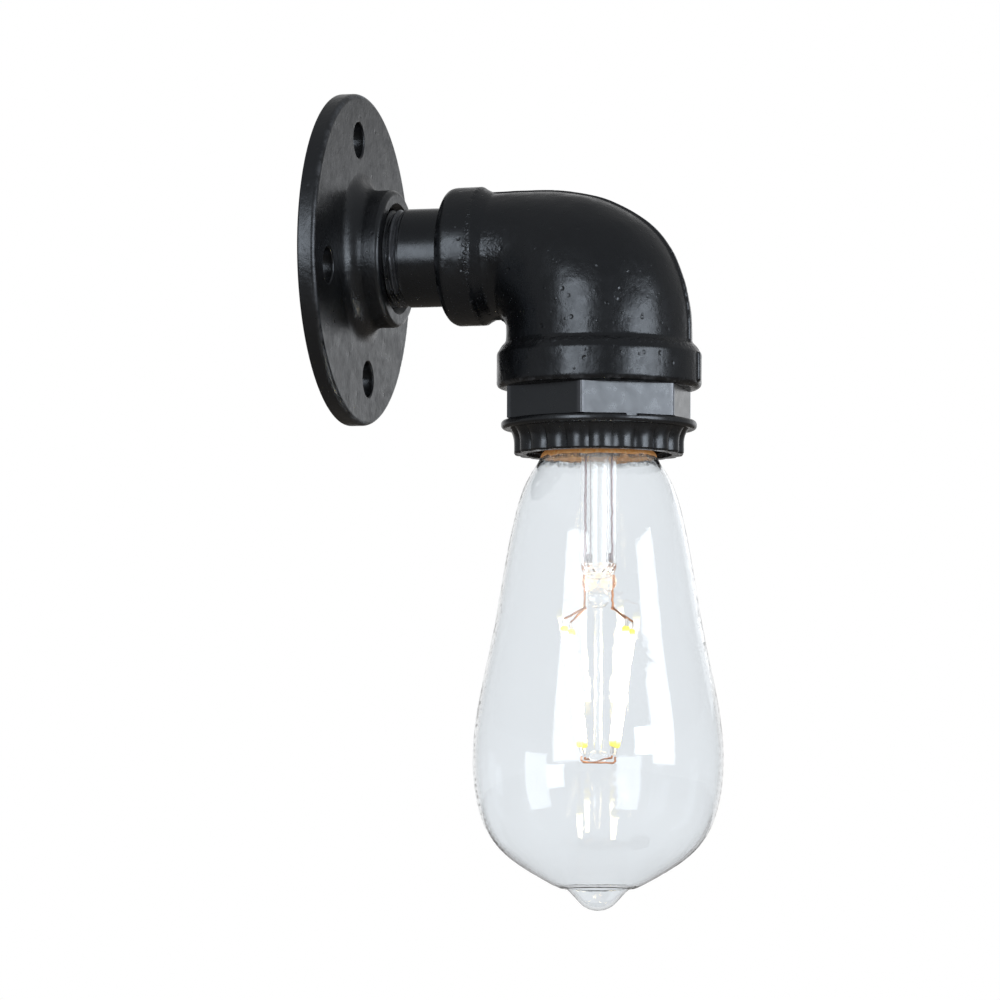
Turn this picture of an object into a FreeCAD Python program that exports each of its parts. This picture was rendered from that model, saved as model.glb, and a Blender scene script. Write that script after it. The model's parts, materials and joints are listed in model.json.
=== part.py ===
import FreeCAD, Part
import math
import os

import Sketcher
from FreeCAD import Placement, Rotation, Vector

# A wall light made of pipe fittings: a round floor flange, a short nipple, a reducing elbow,
# a hex bushing and a screw lampholder with its shade ring, carrying a filament lamp.
#
# Frame, in millimetres: the wall is the plane Y = 0, the pipe axis runs out along -Y through
# the origin, and the lamp hangs down -Z from the elbow.
#
# Two local frames keep every length positive:
#   reach frame: origin on the wall, local Z runs out of the wall (-Y), local Y is up.
#   drop frame: origin where the pipe axis meets the lamp axis, local Z runs down (-Z).

DIMENSIONS = {
    # wall flange
    "flange_radius": 43.0,
    "plate_thickness": 4.7,
    "plate_edge_round": 1.3,
    "plate_back_round": 0.5,
    "hub_radius": 17.8,
    "hub_length": 14.0,
    "hub_foot_round": 4.6,
    "hub_edge_round": 1.3,
    "hub_bore_radius": 12.8,
    "hub_mouth_radius": 14.4,
    "hub_mouth_depth": 1.6,
    "hole_circle_radius": 31.0,
    "hole_radius": 4.6,
    "hole_round": 0.5,
    # pipe nipple
    "nipple_start": 1.5,
    "nipple_thread_end": 17.6,
    "nipple_inner_thread_start": 30.5,
    "nipple_end": 45.5,
    "nipple_radius": 12.7,
    "nipple_bore_radius": 10.5,
    "pipe_thread_pitch": 1.814,
    "pipe_thread_wave": 0.42,
    # reducing elbow
    "elbow_reach": 68.0,
    "elbow_wall": 3.9,
    "elbow_pipe_radius": 16.1,
    "elbow_quarter_radius": 17.55,
    "elbow_half_radius": 20.7,
    "elbow_three_quarter_radius": 23.3,
    "elbow_drop_radius": 23.9,
    "elbow_corner_radius": 3.0,
    "pipe_collar_radius": 17.9,
    "pipe_collar_start": 28.2,
    "pipe_collar_end": 36.8,
    "pipe_collar_slope_end": 41.4,
    "pipe_collar_round": 2.8,
    "pipe_port_radius": 12.75,
    "drop_collar_radius": 26.3,
    "drop_collar_slope_start": 22.6,
    "drop_collar_start": 26.2,
    "drop_collar_end": 35.0,
    "drop_collar_round": 1.5,
    "drop_port_radius": 21.05,
    "drop_port_top": 18.6,
    "seam_height": 0.5,
    "seam_width": 1.7,
    # hex bushing
    "hex_corner_radius": 25.0,
    "hex_corner_round": 0.5,
    "hex_bottom": 43.15,
    "bushing_top": 19.6,
    "bushing_thread_radius": 20.9,
    "bushing_thread_pitch": 2.309,
    "bushing_thread_wave": 0.5,
    "bushing_bore_radius": 18.35,
    # shade ring and the washer under it
    "ring_top": 43.25,
    "ring_rim_radius": 25.1,
    "ring_rim_bottom": 45.5,
    "ring_rim_round": 0.95,
    "ring_bottom": 52.0,
    "ring_lobe_radius": 21.9,
    "ring_valley_radius": 20.9,
    "ring_lobe_count": 22,
    "ring_flare_start": 49.3,
    "ring_recess_radius": 21.2,
    "ring_recess_depth": 0.8,
    "ring_thread_clearance": 0.28,
    "notch_width": 3.4,
    "notch_reach": 1.6,
    "notch_depth": 0.7,
    "washer_inner_radius": 18.5,
    "washer_outer_radius": 21.0,
    "washer_thickness": 0.7,
    # lampholder
    "skirt_bottom": 51.1,
    "skirt_thread_radius": 18.1,
    "skirt_thread_pitch": 2.0,
    "skirt_thread_wave": 0.35,
    "skirt_thread_top": 39.0,
    "skirt_inner_radius": 16.2,
    "skirt_ledge_radius": 14.9,
    "skirt_ledge_top": 46.3,
    "skirt_ledge_bottom": 47.6,
    "shoulder_radius": 19.4,
    "shoulder_top": 17.4,
    "holder_top": 14.5,
    "block_radius": 16.1,
    "block_bore_radius": 14.2,
    "block_floor": 22.4,
    "terminal_offset": 6.0,
    "cover_top": 6.4,
    "cover_wall": 1.6,
    "cover_round": 3.0,
    "lead_hole_radius": 1.5,
    "cover_screw_across": 8.6,
    "cover_screw_along": 10.2,
    "cover_screw_radius": 1.2,
    "cover_pillar_radius": 2.6,
    "rivet_offset": 9.6,
    "rivet_radius": 1.1,
    "strip_thickness": 0.7,
    "plunger_radius": 2.4,
    "plunger_collar_radius": 2.9,
    # screw cap and its mating shell
    "lamp_thread_pitch": 3.629,
    "lamp_thread_wave": 0.55,
    "lamp_thread_radius": 13.2,
    "shell_thread_clearance": 0.27,
    "shell_wall": 0.35,
    "shell_bottom": 45.6,
    "shell_plain_bottom": 29.2,
    "cap_rim": 50.5,
    "cap_collar_radius": 13.35,
    "cap_collar_top": 47.0,
    "cap_thread_top": 30.9,
    "cap_shoulder_radius": 8.8,
    "cap_shoulder_top": 28.9,
    "cap_wall": 0.3,
    "cap_button_radius": 4.6,
    "cap_button_base": 25.2,
    "cap_button_top": 24.0,
    # glass of the lamp
    "glass_wall": 0.8,
    "glass_neck_radius": 12.45,
    "glass_neck_top": 47.6,
    "glass_mouth_radius": 14.0,
    "glass_mouth_drop": 51.6,
    "glass_shoulder_radius": 18.3,
    "glass_shoulder_drop": 58.4,
    "glass_upper_radius": 21.7,
    "glass_upper_drop": 68.6,
    "glass_middle_radius": 27.3,
    "glass_middle_drop": 99.3,
    "glass_belly_radius": 32.0,
    "glass_belly_drop": 133.2,
    "glass_turn_radius": 27.3,
    "glass_turn_drop": 150.4,
    "glass_base_radius": 14.3,
    "glass_base_drop": 160.7,
    "glass_pip_root_radius": 8.9,
    "glass_pip_root_drop": 163.2,
    "glass_pip_radius": 4.85,
    "glass_pip_drop": 166.5,
    "glass_tip_drop": 168.7,
    # stem, wires and filaments inside the lamp
    "stem_flare_radius": 11.6,
    "stem_flare_drop": 47.9,
    "stem_tube_radius": 4.6,
    "stem_tube_wall": 0.7,
    "stem_tube_start": 52.4,
    "pinch_top": 81.6,
    "pinch_bottom": 87.4,
    "pinch_width": 9.2,
    "pinch_depth": 4.4,
    "stem_ball_radius": 2.9,
    "stem_ball_drop": 88.6,
    "stem_rod_radius": 1.0,
    "bead_drop": 129.2,
    "bead_radius": 2.6,
    "exhaust_radius": 2.7,
    "exhaust_bore_radius": 2.0,
    "exhaust_top": 46.8,
    "exhaust_bottom": 80.4,
    "lamp_wire_radius": 0.3,
    "lamp_wire_offset": 3.3,
    "lamp_wire_top": 44.4,
    "lamp_wire_fork_drop": 91.4,
    "filament_radius": 0.9,
    "filament_top_spread": 10.4,
    "filament_top_drop": 96.4,
    "filament_bottom_spread": 5.4,
    "filament_bottom_drop": 127.0,
    "filament_tab_length": 1.8,
    # leads from the wall to the lampholder
    "lead_radius": 1.1,
    "lead_core_radius": 0.65,
    "lead_spacing": 2.4,
    "lead_height": 6.0,
    "lead_start": 10.0,
    "lead_spread_start": 30.0,
    "lead_end_drop": 9.2,
    "lead_core_end_drop": 13.2,
    "ferrule_radius": 1.35,
    "ferrule_length": 8.0,
}

HEX_TURN = 4.7          # degrees from +X to the first corner of the hexagon
FLANGE_TURN = 8.5       # degrees the flange's holes stand round from upright and level
LAMP_TURN = 286.0       # degrees from +X, in plan, to the neutral side of the lamp's wires
FILAMENT_TURNS = (138.0, 58.0, 238.0, 318.0)
BEAD_WIRE_PAIRS = ((138.0, 318.0, 0.5), (58.0, 238.0, -0.5))     # two filaments and a height
NOTCH_TURN = 144.4      # degrees from local +X to the notch in the shade ring's rim
LOFT_STEPS = 8          # thread sections in each turn

doc = FreeCAD.newDocument("pipe_wall_light")
sheet = doc.addObject("Spreadsheet::Sheet", "Sizes")
subparts = []


def fill_sheet():
    """Writes each driving dimension as a plain number with its alias."""
    for row, (alias, value) in enumerate(DIMENSIONS.items(), 1):
        sheet.set("A%d" % row, alias.replace("_", " "))
        sheet.set("B%d" % row, str(value))
        sheet.setAlias("B%d" % row, alias)
    doc.recompute()


def full(expression):
    """Puts the sheet's name before each alias in a short expression."""
    words = []
    for word in expression.split():
        words.append("Sizes." + word if word in DIMENSIONS else word)
    return " ".join(words)


def mm(expression):
    """The value of an expression of aliases, as a number."""
    return float(sheet.evalExpression(full(expression)))


def bind(item, **properties):
    """Binds properties of an object to expressions of the sheet's cells."""
    for name, expression in properties.items():
        item.setExpression(name, full(expression))


def place_on_wall(item):
    """The reach frame: local Z runs out of the wall and local Y is up."""
    item.Placement = Placement(Vector(0, 0, 0), Rotation(Vector(1, 0, 0), 90))


def place_flange(item):
    """The reach frame, turned about the pipe to where the flange came tight on its thread."""
    place_on_wall(item)
    item.Placement = item.Placement * Placement(Vector(0, 0, 0),
                                                Rotation(Vector(0, 0, 1), FLANGE_TURN))


def place_on_lamp_axis(item):
    """The drop frame: local Z runs down from the crossing of the two axes."""
    reach = mm("elbow_reach")
    item.Placement = Placement(Vector(0, -reach, 0), Rotation(Vector(1, 0, 0), 180))


def keep(item, label, place=None):
    """Names a finished sub-part and puts it in its place."""
    item.Label = label
    if place:
        doc.recompute()
        place(item)
    subparts.append(item)
    return item


# ---- building blocks -------------------------------------------------------------------------

def origin_plane(body, role):
    return next(item for item in body.Origin.OriginFeatures if item.Role == role)


def closed_sketch(body, name, role, corners):
    """A closed outline of straight lines, each corner held by two driven distances."""
    sketch = body.newObject("Sketcher::SketchObject", name)
    sketch.AttachmentSupport = [(origin_plane(body, role), "")]
    sketch.MapMode = "FlatFace"
    points = [Vector(mm(across), mm(along), 0) for across, along in corners]
    count = len(points)
    for index in range(count):
        line = Part.LineSegment(points[index], points[(index + 1) % count])
        sketch.addGeometry(line, False)
    for index in range(count):
        sketch.addConstraint(Sketcher.Constraint("Coincident", index, 2, (index + 1) % count, 1))
    for index, (across, along) in enumerate(corners):
        drive_corner(sketch, index, "DistanceX", across, points[index].x, -2)
        drive_corner(sketch, index, "DistanceY", along, points[index].y, -1)
    return sketch


def drive_corner(sketch, index, kind, expression, value, axis):
    """Holds one coordinate of a corner: on the axis if it is zero, else by a distance."""
    if abs(value) < 1e-9:
        sketch.addConstraint(Sketcher.Constraint("PointOnObject", index, 1, axis))
        return
    row = sketch.addConstraint(Sketcher.Constraint(kind, -1, 1, index, 1, value))
    sketch.setExpression("Constraints[%d]" % row, full(expression))


def turned(name, corners):
    """A body of revolution about local Z: corners are (radius, height along the axis)."""
    body = doc.addObject("PartDesign::Body", name)
    sketch = closed_sketch(body, name + "_outline", "XZ_Plane", corners)
    feature = body.newObject("PartDesign::Revolution", name + "_turned")
    feature.Profile = sketch
    feature.ReferenceAxis = (sketch, ["V_Axis"])
    feature.Angle = 360
    doc.recompute()
    return body


def circle_edges(shape, radius, height):
    """Names of the round edges about local Z with this radius at this height."""
    names = []
    for index, edge in enumerate(shape.Edges, 1):
        curve = edge.Curve
        if not isinstance(curve, Part.Circle):
            continue
        level = abs(curve.Center.z - height) < 1e-3
        if level and abs(curve.Radius - radius) < 1e-3:
            names.append("Edge%d" % index)
    return names


def round_edge(body, radius, height, size):
    """Rounds one circular edge of a body with a fillet of a driven size."""
    base = body.Tip
    fillet = body.newObject("PartDesign::Fillet", body.Name + "_round")
    fillet.Base = (base, circle_edges(base.Shape, mm(radius), mm(height)))
    bind(fillet, Radius=size)
    doc.recompute()
    return fillet


def cylinder(name, radius, start, end):
    """A cylinder on local Z between two heights."""
    item = doc.addObject("Part::Cylinder", name)
    bind(item, Radius=radius, Height="%s - ( %s )" % (end, start))
    item.setExpression("Placement.Base.z", full(start))
    return item


def block(name, size, low):
    """A box with driven sizes and a driven low corner, both as x, y, z expressions."""
    item = doc.addObject("Part::Box", name)
    bind(item, Length=size[0], Width=size[1], Height=size[2])
    for axis, expression in zip("xyz", low):
        item.setExpression("Placement.Base." + axis, full(expression))
    return item


def upright(name, radius, start, end, x="0", y="0"):
    """A cylinder parallel to local Z that stands at x, y."""
    item = cylinder(name, radius, start, end)
    item.setExpression("Placement.Base.x", full(x))
    item.setExpression("Placement.Base.y", full(y))
    return item


def fused(name, items):
    item = doc.addObject("Part::MultiFuse", name)
    item.Shapes = items
    return item


def cut(name, base, tool):
    item = doc.addObject("Part::Cut", name)
    item.Base = base
    item.Tool = tool
    return item


def common(name, base, tool):
    item = doc.addObject("Part::MultiCommon", name)
    item.Shapes = [base, tool]
    return item


def feature(name, shape):
    item = doc.addObject("Part::Feature", name)
    item.Shape = shape
    return item


def ring_wire(radius, height, centre=(0, 0)):
    """A round section across local Z."""
    at = Vector(centre[0], centre[1], height)
    return Part.Wire([Part.Circle(at, Vector(0, 0, 1), radius).toShape()])


def thread_sections(radius, wave, pitch, start, end):
    """Round sections whose centres wind round the axis, close enough to make a thread."""
    count = int(math.ceil((end - start) / pitch * LOFT_STEPS))
    sections = []
    for index in range(count + 1):
        height = start + (end - start) * index / count
        turn = 2 * math.pi * height / pitch
        centre = (wave * math.cos(turn), wave * math.sin(turn))
        sections.append(ring_wire(radius, height, centre))
    return sections


def wall_sections(radius, wave, pitch, start, end):
    """Sections of a threaded wall, or the two ends of a plain one."""
    if wave:
        return thread_sections(radius - wave, wave, pitch, start, end)
    return [ring_wire(radius, start), ring_wire(radius, end)]


def threaded_tube(outer, inner, pitch, start, end):
    """A tube with a round thread in its outer wall, its inner wall or both.

    outer and inner are (crest radius, wave): a wave of 0 makes that wall plain.
    """
    faces = []
    ends = []
    for radius, wave in (outer, inner):
        sections = wall_sections(radius, wave, pitch, start, end)
        faces.extend(Part.makeLoft(sections, False, True).Faces)
        ends.append((sections[0], sections[-1]))
    for side in (0, 1):
        faces.append(Part.makeFace([ends[0][side], ends[1][side]], "Part::FaceMakerBullseye"))
    shell = Part.makeShell(faces)
    shell.sewShape()
    solid = Part.makeSolid(shell)
    solid.fix(1e-4, 1e-4, 1e-3)
    return solid


def rod_along(points, radius, bends=()):
    """A round rod along straight runs, joined by tangent arcs at its inner points."""
    edges = []
    start = points[0]
    for index in range(1, len(points) - 1):
        corner, after = points[index], points[index + 1]
        back = (points[index - 1] - corner).normalize()
        ahead = (after - corner).normalize()
        half_turn = (math.pi - back.getAngle(ahead)) / 2
        setback = bends[index - 1] * math.tan(half_turn)
        enter = corner + back * setback
        leave = corner + ahead * setback
        middle = arc_middle(corner, back, ahead, bends[index - 1], half_turn)
        edges.append(Part.LineSegment(start, enter).toShape())
        edges.append(Part.Arc(enter, middle, leave).toShape())
        start = leave
    edges.append(Part.LineSegment(start, points[-1]).toShape())
    path = Part.Wire(edges)
    direction = (points[1] - points[0]).normalize()
    section = Part.Wire([Part.Circle(points[0], direction, radius).toShape()])
    return path.makePipeShell([section], True, False)


def arc_middle(corner, back, ahead, radius, half_turn):
    """The middle point of the arc that rounds a corner."""
    bisector = (back + ahead).normalize()
    return corner + bisector * (radius / math.cos(half_turn) - radius)


def polar(radius, turn, height):
    """A point of the drop frame from a plan direction, in degrees from +X, of the main frame."""
    angle = math.radians(turn)
    return Vector(radius * math.cos(angle), -radius * math.sin(angle), height)


# ---- wall flange -----------------------------------------------------------------------------

def make_wall_flange():
    body = turned("flange", [
        ("hub_bore_radius", "0"),
        ("flange_radius", "0"),
        ("flange_radius", "plate_thickness"),
        ("hub_radius", "plate_thickness"),
        ("hub_radius", "hub_length"),
        ("hub_mouth_radius", "hub_length"),
        ("hub_bore_radius", "hub_length - hub_mouth_depth"),
    ])
    round_edge(body, "hub_radius", "plate_thickness", "hub_foot_round")
    round_edge(body, "flange_radius", "plate_thickness", "plate_edge_round")
    round_edge(body, "flange_radius", "0", "plate_back_round")
    round_edge(body, "hub_radius", "hub_length", "hub_edge_round")
    cut_flange_holes(body)
    keep(body, "wall_flange", place_flange)


def cut_flange_holes(body):
    """Four plain holes through the plate, with their front edges rounded."""
    before = body.Shape.Volume
    sketch = body.newObject("Sketcher::SketchObject", "flange_hole_outline")
    sketch.AttachmentSupport = [(origin_plane(body, "XY_Plane"), "")]
    sketch.MapMode = "FlatFace"
    centre = Vector(0, mm("hole_circle_radius"), 0)
    sketch.addGeometry(Part.Circle(centre, Vector(0, 0, 1), mm("hole_radius")), False)
    sketch.addConstraint(Sketcher.Constraint("PointOnObject", 0, 3, -2))
    row = sketch.addConstraint(Sketcher.Constraint("DistanceY", -1, 1, 0, 3, centre.y))
    sketch.setExpression("Constraints[%d]" % row, full("hole_circle_radius"))
    row = sketch.addConstraint(Sketcher.Constraint("Radius", 0, mm("hole_radius")))
    sketch.setExpression("Constraints[%d]" % row, full("hole_radius"))
    pocket = body.newObject("PartDesign::Pocket", "flange_hole")
    pocket.Profile = sketch
    pocket.Type = 0
    pocket.Reversed = True
    bind(pocket, Length="plate_thickness + 1")
    doc.recompute()
    pattern = body.newObject("PartDesign::PolarPattern", "flange_holes")
    pattern.Originals = [pocket]
    pattern.Axis = (sketch, ["N_Axis"])
    pattern.Angle = 360
    pattern.Occurrences = 4
    body.Tip = pattern
    doc.recompute()
    one_hole = math.pi * mm("hole_radius") ** 2 * mm("plate_thickness")
    assert abs(before - body.Shape.Volume - 4 * one_hole) < 1, "the holes are not all cut"
    round_edge(body, "hole_radius", "plate_thickness", "hole_round")


# ---- nipple ----------------------------------------------------------------------------------

def make_pipe_nipple():
    """A short pipe threaded at both ends, with a plain barrel between the threads."""
    crest = mm("nipple_radius")
    wave = mm("pipe_thread_wave")
    pitch = mm("pipe_thread_pitch")
    bore = (mm("nipple_bore_radius"), 0)
    wall_end = threaded_tube((crest, wave), bore, pitch, mm("nipple_start"), mm("nipple_thread_end"))
    elbow_end = threaded_tube((crest, wave), bore, pitch, mm("nipple_inner_thread_start"),
                              mm("nipple_end"))
    barrel = cut("nipple_barrel",
                 cylinder("nipple_outside", "nipple_radius + 0.05", "nipple_thread_end",
                          "nipple_inner_thread_start"),
                 cylinder("nipple_inside", "nipple_bore_radius", "nipple_start", "nipple_end"))
    nipple = fused("nipple", [barrel, feature("wall_thread", wall_end),
                              feature("elbow_thread", elbow_end)])
    keep(nipple, "pipe_nipple", place_on_wall)


# ---- reducing elbow --------------------------------------------------------------------------

BEND_STEPS = 12         # points round half a section, less one
BEND_STATIONS = (
    # turn about the inner corner in degrees, radius of the outside, straight run from the bend
    (0, "elbow_pipe_radius", -7.0),
    (0, "elbow_pipe_radius", -3.5),
    (0, "elbow_pipe_radius", 0.0),
    (22.5, "elbow_quarter_radius", 0.0),
    (45, "elbow_half_radius", 0.0),
    (67.5, "elbow_three_quarter_radius", 0.0),
    (90, "elbow_drop_radius", 0.0),
    (90, "elbow_drop_radius", 3.5),
    (90, "elbow_drop_radius", 7.0),
)


def bend_row(turn, outside, run, grow):
    """Points round half a section of the bend, from its outer side to its inner side."""
    corner = mm("elbow_corner_radius")
    radius = mm(outside)
    outward = Vector(0, -math.sin(math.radians(turn)), math.cos(math.radians(turn)))
    onward = Vector(0, -math.cos(math.radians(turn)), -math.sin(math.radians(turn)))
    pivot = Vector(0, mm("elbow_drop_radius") + corner - mm("elbow_reach"),
                   -mm("elbow_pipe_radius") - corner)
    centre = pivot + outward * (corner + radius) + onward * run
    row = []
    for step in range(BEND_STEPS + 1):
        angle = math.pi * step / BEND_STEPS
        around = outward * math.cos(angle) + Vector(math.sin(angle), 0, 0)
        row.append(centre + around * (radius + grow))
    return row


def bend(name, grow):
    """The bend as a smooth skin over its sections, grown by a length or shrunk by it."""
    surface = Part.BSplineSurface()
    surface.interpolate([bend_row(*station, grow) for station in BEND_STATIONS])
    near = surface.toShape()
    far = near.mirror(Vector(0, 0, 0), Vector(1, 0, 0))
    shell = Part.makeShell([near, far, bend_end(near, far, 0), bend_end(near, far, 1)])
    shell.sewShape()
    solid = Part.makeSolid(shell)
    solid.fix(1e-4, 1e-4, 1e-3)
    return feature(name, solid)


def bend_end(near, far, side):
    """The flat face that closes the skin at the pipe side (0) or at the lamp side (1)."""
    axis = "yz"[side]
    chosen = []
    for face in (near, far):
        box = face.BoundBox
        level = box.YMax if side == 0 else box.ZMin
        for edge in face.Edges:
            points = edge.discretize(5)
            if all(abs(getattr(point, axis) - level) < 0.2 for point in points):
                chosen.append(edge)
    return Part.Face(Part.Wire(Part.__sortEdges__(chosen)))


def make_reducing_elbow():
    pipe_collar = turned("pipe_collar", [
        ("0", "pipe_collar_start"),
        ("pipe_collar_radius", "pipe_collar_start"),
        ("pipe_collar_radius", "pipe_collar_end"),
        ("elbow_pipe_radius - 0.3", "pipe_collar_slope_end"),
        ("0", "pipe_collar_slope_end"),
    ])
    round_edge(pipe_collar, "pipe_collar_radius", "pipe_collar_start", "pipe_collar_round")
    round_edge(pipe_collar, "pipe_collar_radius", "pipe_collar_end", "pipe_collar_round")
    place_on_wall(pipe_collar)
    drop_collar = turned("drop_collar", [
        ("0", "drop_collar_slope_start"),
        ("elbow_drop_radius - 0.3", "drop_collar_slope_start"),
        ("drop_collar_radius", "drop_collar_start"),
        ("drop_collar_radius", "drop_collar_end"),
        ("0", "drop_collar_end"),
    ])
    round_edge(drop_collar, "drop_collar_radius", "drop_collar_end", "drop_collar_round")
    round_edge(drop_collar, "drop_collar_radius", "drop_collar_start", "drop_collar_round")
    place_on_lamp_axis(drop_collar)
    outside = fused("elbow_outside", [bend("elbow_body", 0), pipe_collar, drop_collar, seam()])
    inside = fused("elbow_inside", [bend("elbow_hollow", -mm("elbow_wall")), pipe_port(), drop_port()])
    elbow = cut("elbow", outside, inside)
    doc.recompute()
    keep(elbow, "reducing_elbow")


def seam():
    """The low ridge that the two halves of the mould leave in the plane X = 0."""
    slab = block("seam_slab", ("seam_width", "elbow_reach * 2", "elbow_reach * 2"),
                 ("- seam_width / 2", "- elbow_reach * 2", "- elbow_reach"))
    collar = turned("seam_collar", [
        ("0", "drop_collar_start"),
        ("drop_collar_radius + seam_height", "drop_collar_start"),
        ("drop_collar_radius + seam_height", "drop_collar_end - drop_collar_round"),
        ("0", "drop_collar_end - drop_collar_round"),
    ])
    place_on_lamp_axis(collar)
    ridge = fused("seam_ridge", [bend("seam_body", mm("seam_height")), collar])
    return common("seam", ridge, slab)


def pipe_port():
    """The bore that takes the nipple."""
    port = cylinder("pipe_port", "pipe_port_radius", "pipe_collar_start - 1", "nipple_end + 1")
    port.Placement = Placement(Vector(0, 0, 0), Rotation(Vector(1, 0, 0), 90))
    port.setExpression("Placement.Base.z", None)
    port.setExpression("Placement.Base.y", full("- pipe_collar_start + 1"))
    return port


def drop_port():
    """The bore that takes the bushing."""
    port = doc.addObject("Part::Cylinder", "drop_port")
    bind(port, Radius="drop_port_radius", Height="drop_collar_end - drop_port_top + 1")
    port.setExpression("Placement.Base.y", full("- elbow_reach"))
    port.setExpression("Placement.Base.z", full("- drop_collar_end - 1"))
    return port


# ---- hex bushing -----------------------------------------------------------------------------

def make_hex_bushing():
    prism = doc.addObject("Part::Prism", "hex_prism")
    prism.Polygon = 6
    bind(prism, Circumradius="hex_corner_radius", Height="hex_bottom - drop_collar_end - 0.05")
    prism.Placement = Placement(Vector(0, 0, 0), Rotation(Vector(0, 0, 1), -HEX_TURN))
    prism.setExpression("Placement.Base.z", full("drop_collar_end + 0.05"))
    doc.recompute()
    corners = doc.addObject("Part::Fillet", "hex_corners")
    corners.Base = prism
    size = mm("hex_corner_round")
    corners.Edges = [(index, size, size) for index in upright_edges(prism.Shape)]
    thread = threaded_tube((mm("bushing_thread_radius"), mm("bushing_thread_wave")),
                           (mm("bushing_bore_radius"), 0), mm("bushing_thread_pitch"),
                           mm("bushing_top"), mm("drop_collar_end - 0.6"))
    neck = cylinder("bushing_neck", "bushing_thread_radius - bushing_thread_wave * 2 + 0.1",
                    "drop_collar_end - 0.7", "drop_collar_end + 0.1")
    solid = fused("bushing_solid", [corners, neck])
    bored = cut("bushing_bored", solid,
                cylinder("bushing_bore", "bushing_bore_radius", "bushing_top - 1", "hex_bottom + 1"))
    bushing = fused("bushing", [bored, feature("bushing_thread", thread)])
    keep(bushing, "hex_bushing", place_on_lamp_axis)


def upright_edges(shape):
    """Numbers of the straight edges that run along local Z."""
    numbers = []
    for index, edge in enumerate(shape.Edges, 1):
        first, last = edge.Vertexes[0].Point, edge.Vertexes[-1].Point
        if math.hypot(first.x - last.x, first.y - last.y) < 1e-6:
            numbers.append(index)
    return numbers


# ---- shade ring and washer -------------------------------------------------------------------

def lobed_wire(crest, valley, height):
    """A closed outline of round lobes: one arc a lobe, from valley to valley."""
    count = int(DIMENSIONS["ring_lobe_count"])
    step = 2 * math.pi / count
    edges = []
    for index in range(count):
        turn = index * step
        points = [Vector(radius * math.cos(turn + side * step / 2),
                         radius * math.sin(turn + side * step / 2), height)
                  for radius, side in ((valley, -1), (crest, 0), (valley, 1))]
        edges.append(Part.Arc(*points).toShape())
    return Part.Wire(edges)


def ring_skirt():
    """The fluted lower part of the ring, flaring in a hollow curve up to the rim."""
    crest = mm("ring_lobe_radius")
    depth = mm("ring_lobe_radius - ring_valley_radius")
    bottom = mm("ring_bottom")
    flare = mm("ring_flare_start")
    top = mm("ring_rim_bottom - 0.6")
    grow = mm("ring_rim_radius - 0.9") - crest
    sections = [lobed_wire(crest - 0.35, crest - 0.35 - depth * 0.9, bottom),
                lobed_wire(crest, crest - depth, bottom - 0.5),
                lobed_wire(crest, crest - depth, flare)]
    steps = 5
    for index in range(1, steps + 1):
        part = index / steps
        rise = 1 - math.cos(part * math.pi / 2)
        radius = crest + grow * rise
        height = flare - (flare - top) * math.sin(part * math.pi / 2)
        sections.append(lobed_wire(radius, radius - depth * (1 - 0.75 * part), height))
    sections.reverse()
    lower = Part.makeLoft(sections[-2:], True, True)
    upper = Part.makeLoft(sections[:-1], True, False)
    return upper.fuse(lower)


def make_shade_ring():
    rim = turned("ring_rim", [
        ("0", "ring_top"),
        ("ring_rim_radius", "ring_top"),
        ("ring_rim_radius", "ring_rim_bottom"),
        ("0", "ring_rim_bottom"),
    ])
    round_edge(rim, "ring_rim_radius", "ring_top", "ring_rim_round")
    round_edge(rim, "ring_rim_radius", "ring_rim_bottom", "ring_rim_round")
    outside = fused("ring_outside", [rim, feature("ring_skirt", ring_skirt())])
    thread_top = "ring_top + ring_recess_depth"
    recess = cylinder("ring_recess", "ring_recess_radius", "ring_top - 1", thread_top)
    bore = cylinder("ring_bore", "skirt_thread_radius + ring_thread_clearance + 0.35",
                    thread_top, "ring_bottom + 1")
    hollow = fused("ring_hollow", [recess, bore, ring_notch()])
    blank = cut("ring_blank", outside, hollow)
    clearance = mm("ring_thread_clearance")
    crest = mm("skirt_thread_radius") + clearance
    thread = threaded_tube((mm("skirt_thread_radius + ring_thread_clearance + 0.6"), 0),
                           (crest, mm("skirt_thread_wave")), mm("skirt_thread_pitch"),
                           mm(thread_top + " + 0.4"), mm("ring_bottom - 0.9"))
    ring = fused("ring", [blank, feature("ring_thread", thread)])
    keep(ring, "shade_ring", place_on_lamp_axis)


def ring_notch():
    """The moulding's small gate notch in the upper edge of the rim, seen from the side."""
    notch = doc.addObject("Part::Box", "ring_notch")
    bind(notch, Length="notch_width", Width="notch_reach", Height="notch_depth + 0.1")
    corner = Vector(mm("ring_rim_radius + 0.3"), -mm("notch_width") / 2, mm("ring_top - 0.1"))
    notch.Placement = Placement(Rotation(Vector(0, 0, 1), NOTCH_TURN).multVec(corner),
                                Rotation(Vector(0, 0, 1), NOTCH_TURN + 90))
    return notch


def make_ring_washer():
    washer = turned("washer", [
        ("washer_inner_radius", "ring_top + 0.05"),
        ("washer_outer_radius", "ring_top + 0.05"),
        ("washer_outer_radius", "ring_top + 0.05 + washer_thickness"),
        ("washer_inner_radius", "ring_top + 0.05 + washer_thickness"),
    ])
    keep(washer, "ring_washer", place_on_lamp_axis)


# ---- lampholder ------------------------------------------------------------------------------

# Places across the lamp axis that come in pairs, each as an x and a y.
COVER_SCREWS = (("cover_screw_across", "cover_screw_along"),
                ("- cover_screw_across", "- cover_screw_along"))
RIVETS = (("0", "rivet_offset"), ("0", "- rivet_offset"))
TERMINALS = (("terminal_offset", "0"), ("- terminal_offset", "0"))


def in_pair(name, radius, start, end, places):
    """Two equal uprights, one at each of two places."""
    return [upright("%s_%d" % (name, index), radius, start, end, x, y)
            for index, (x, y) in enumerate(places)]


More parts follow.
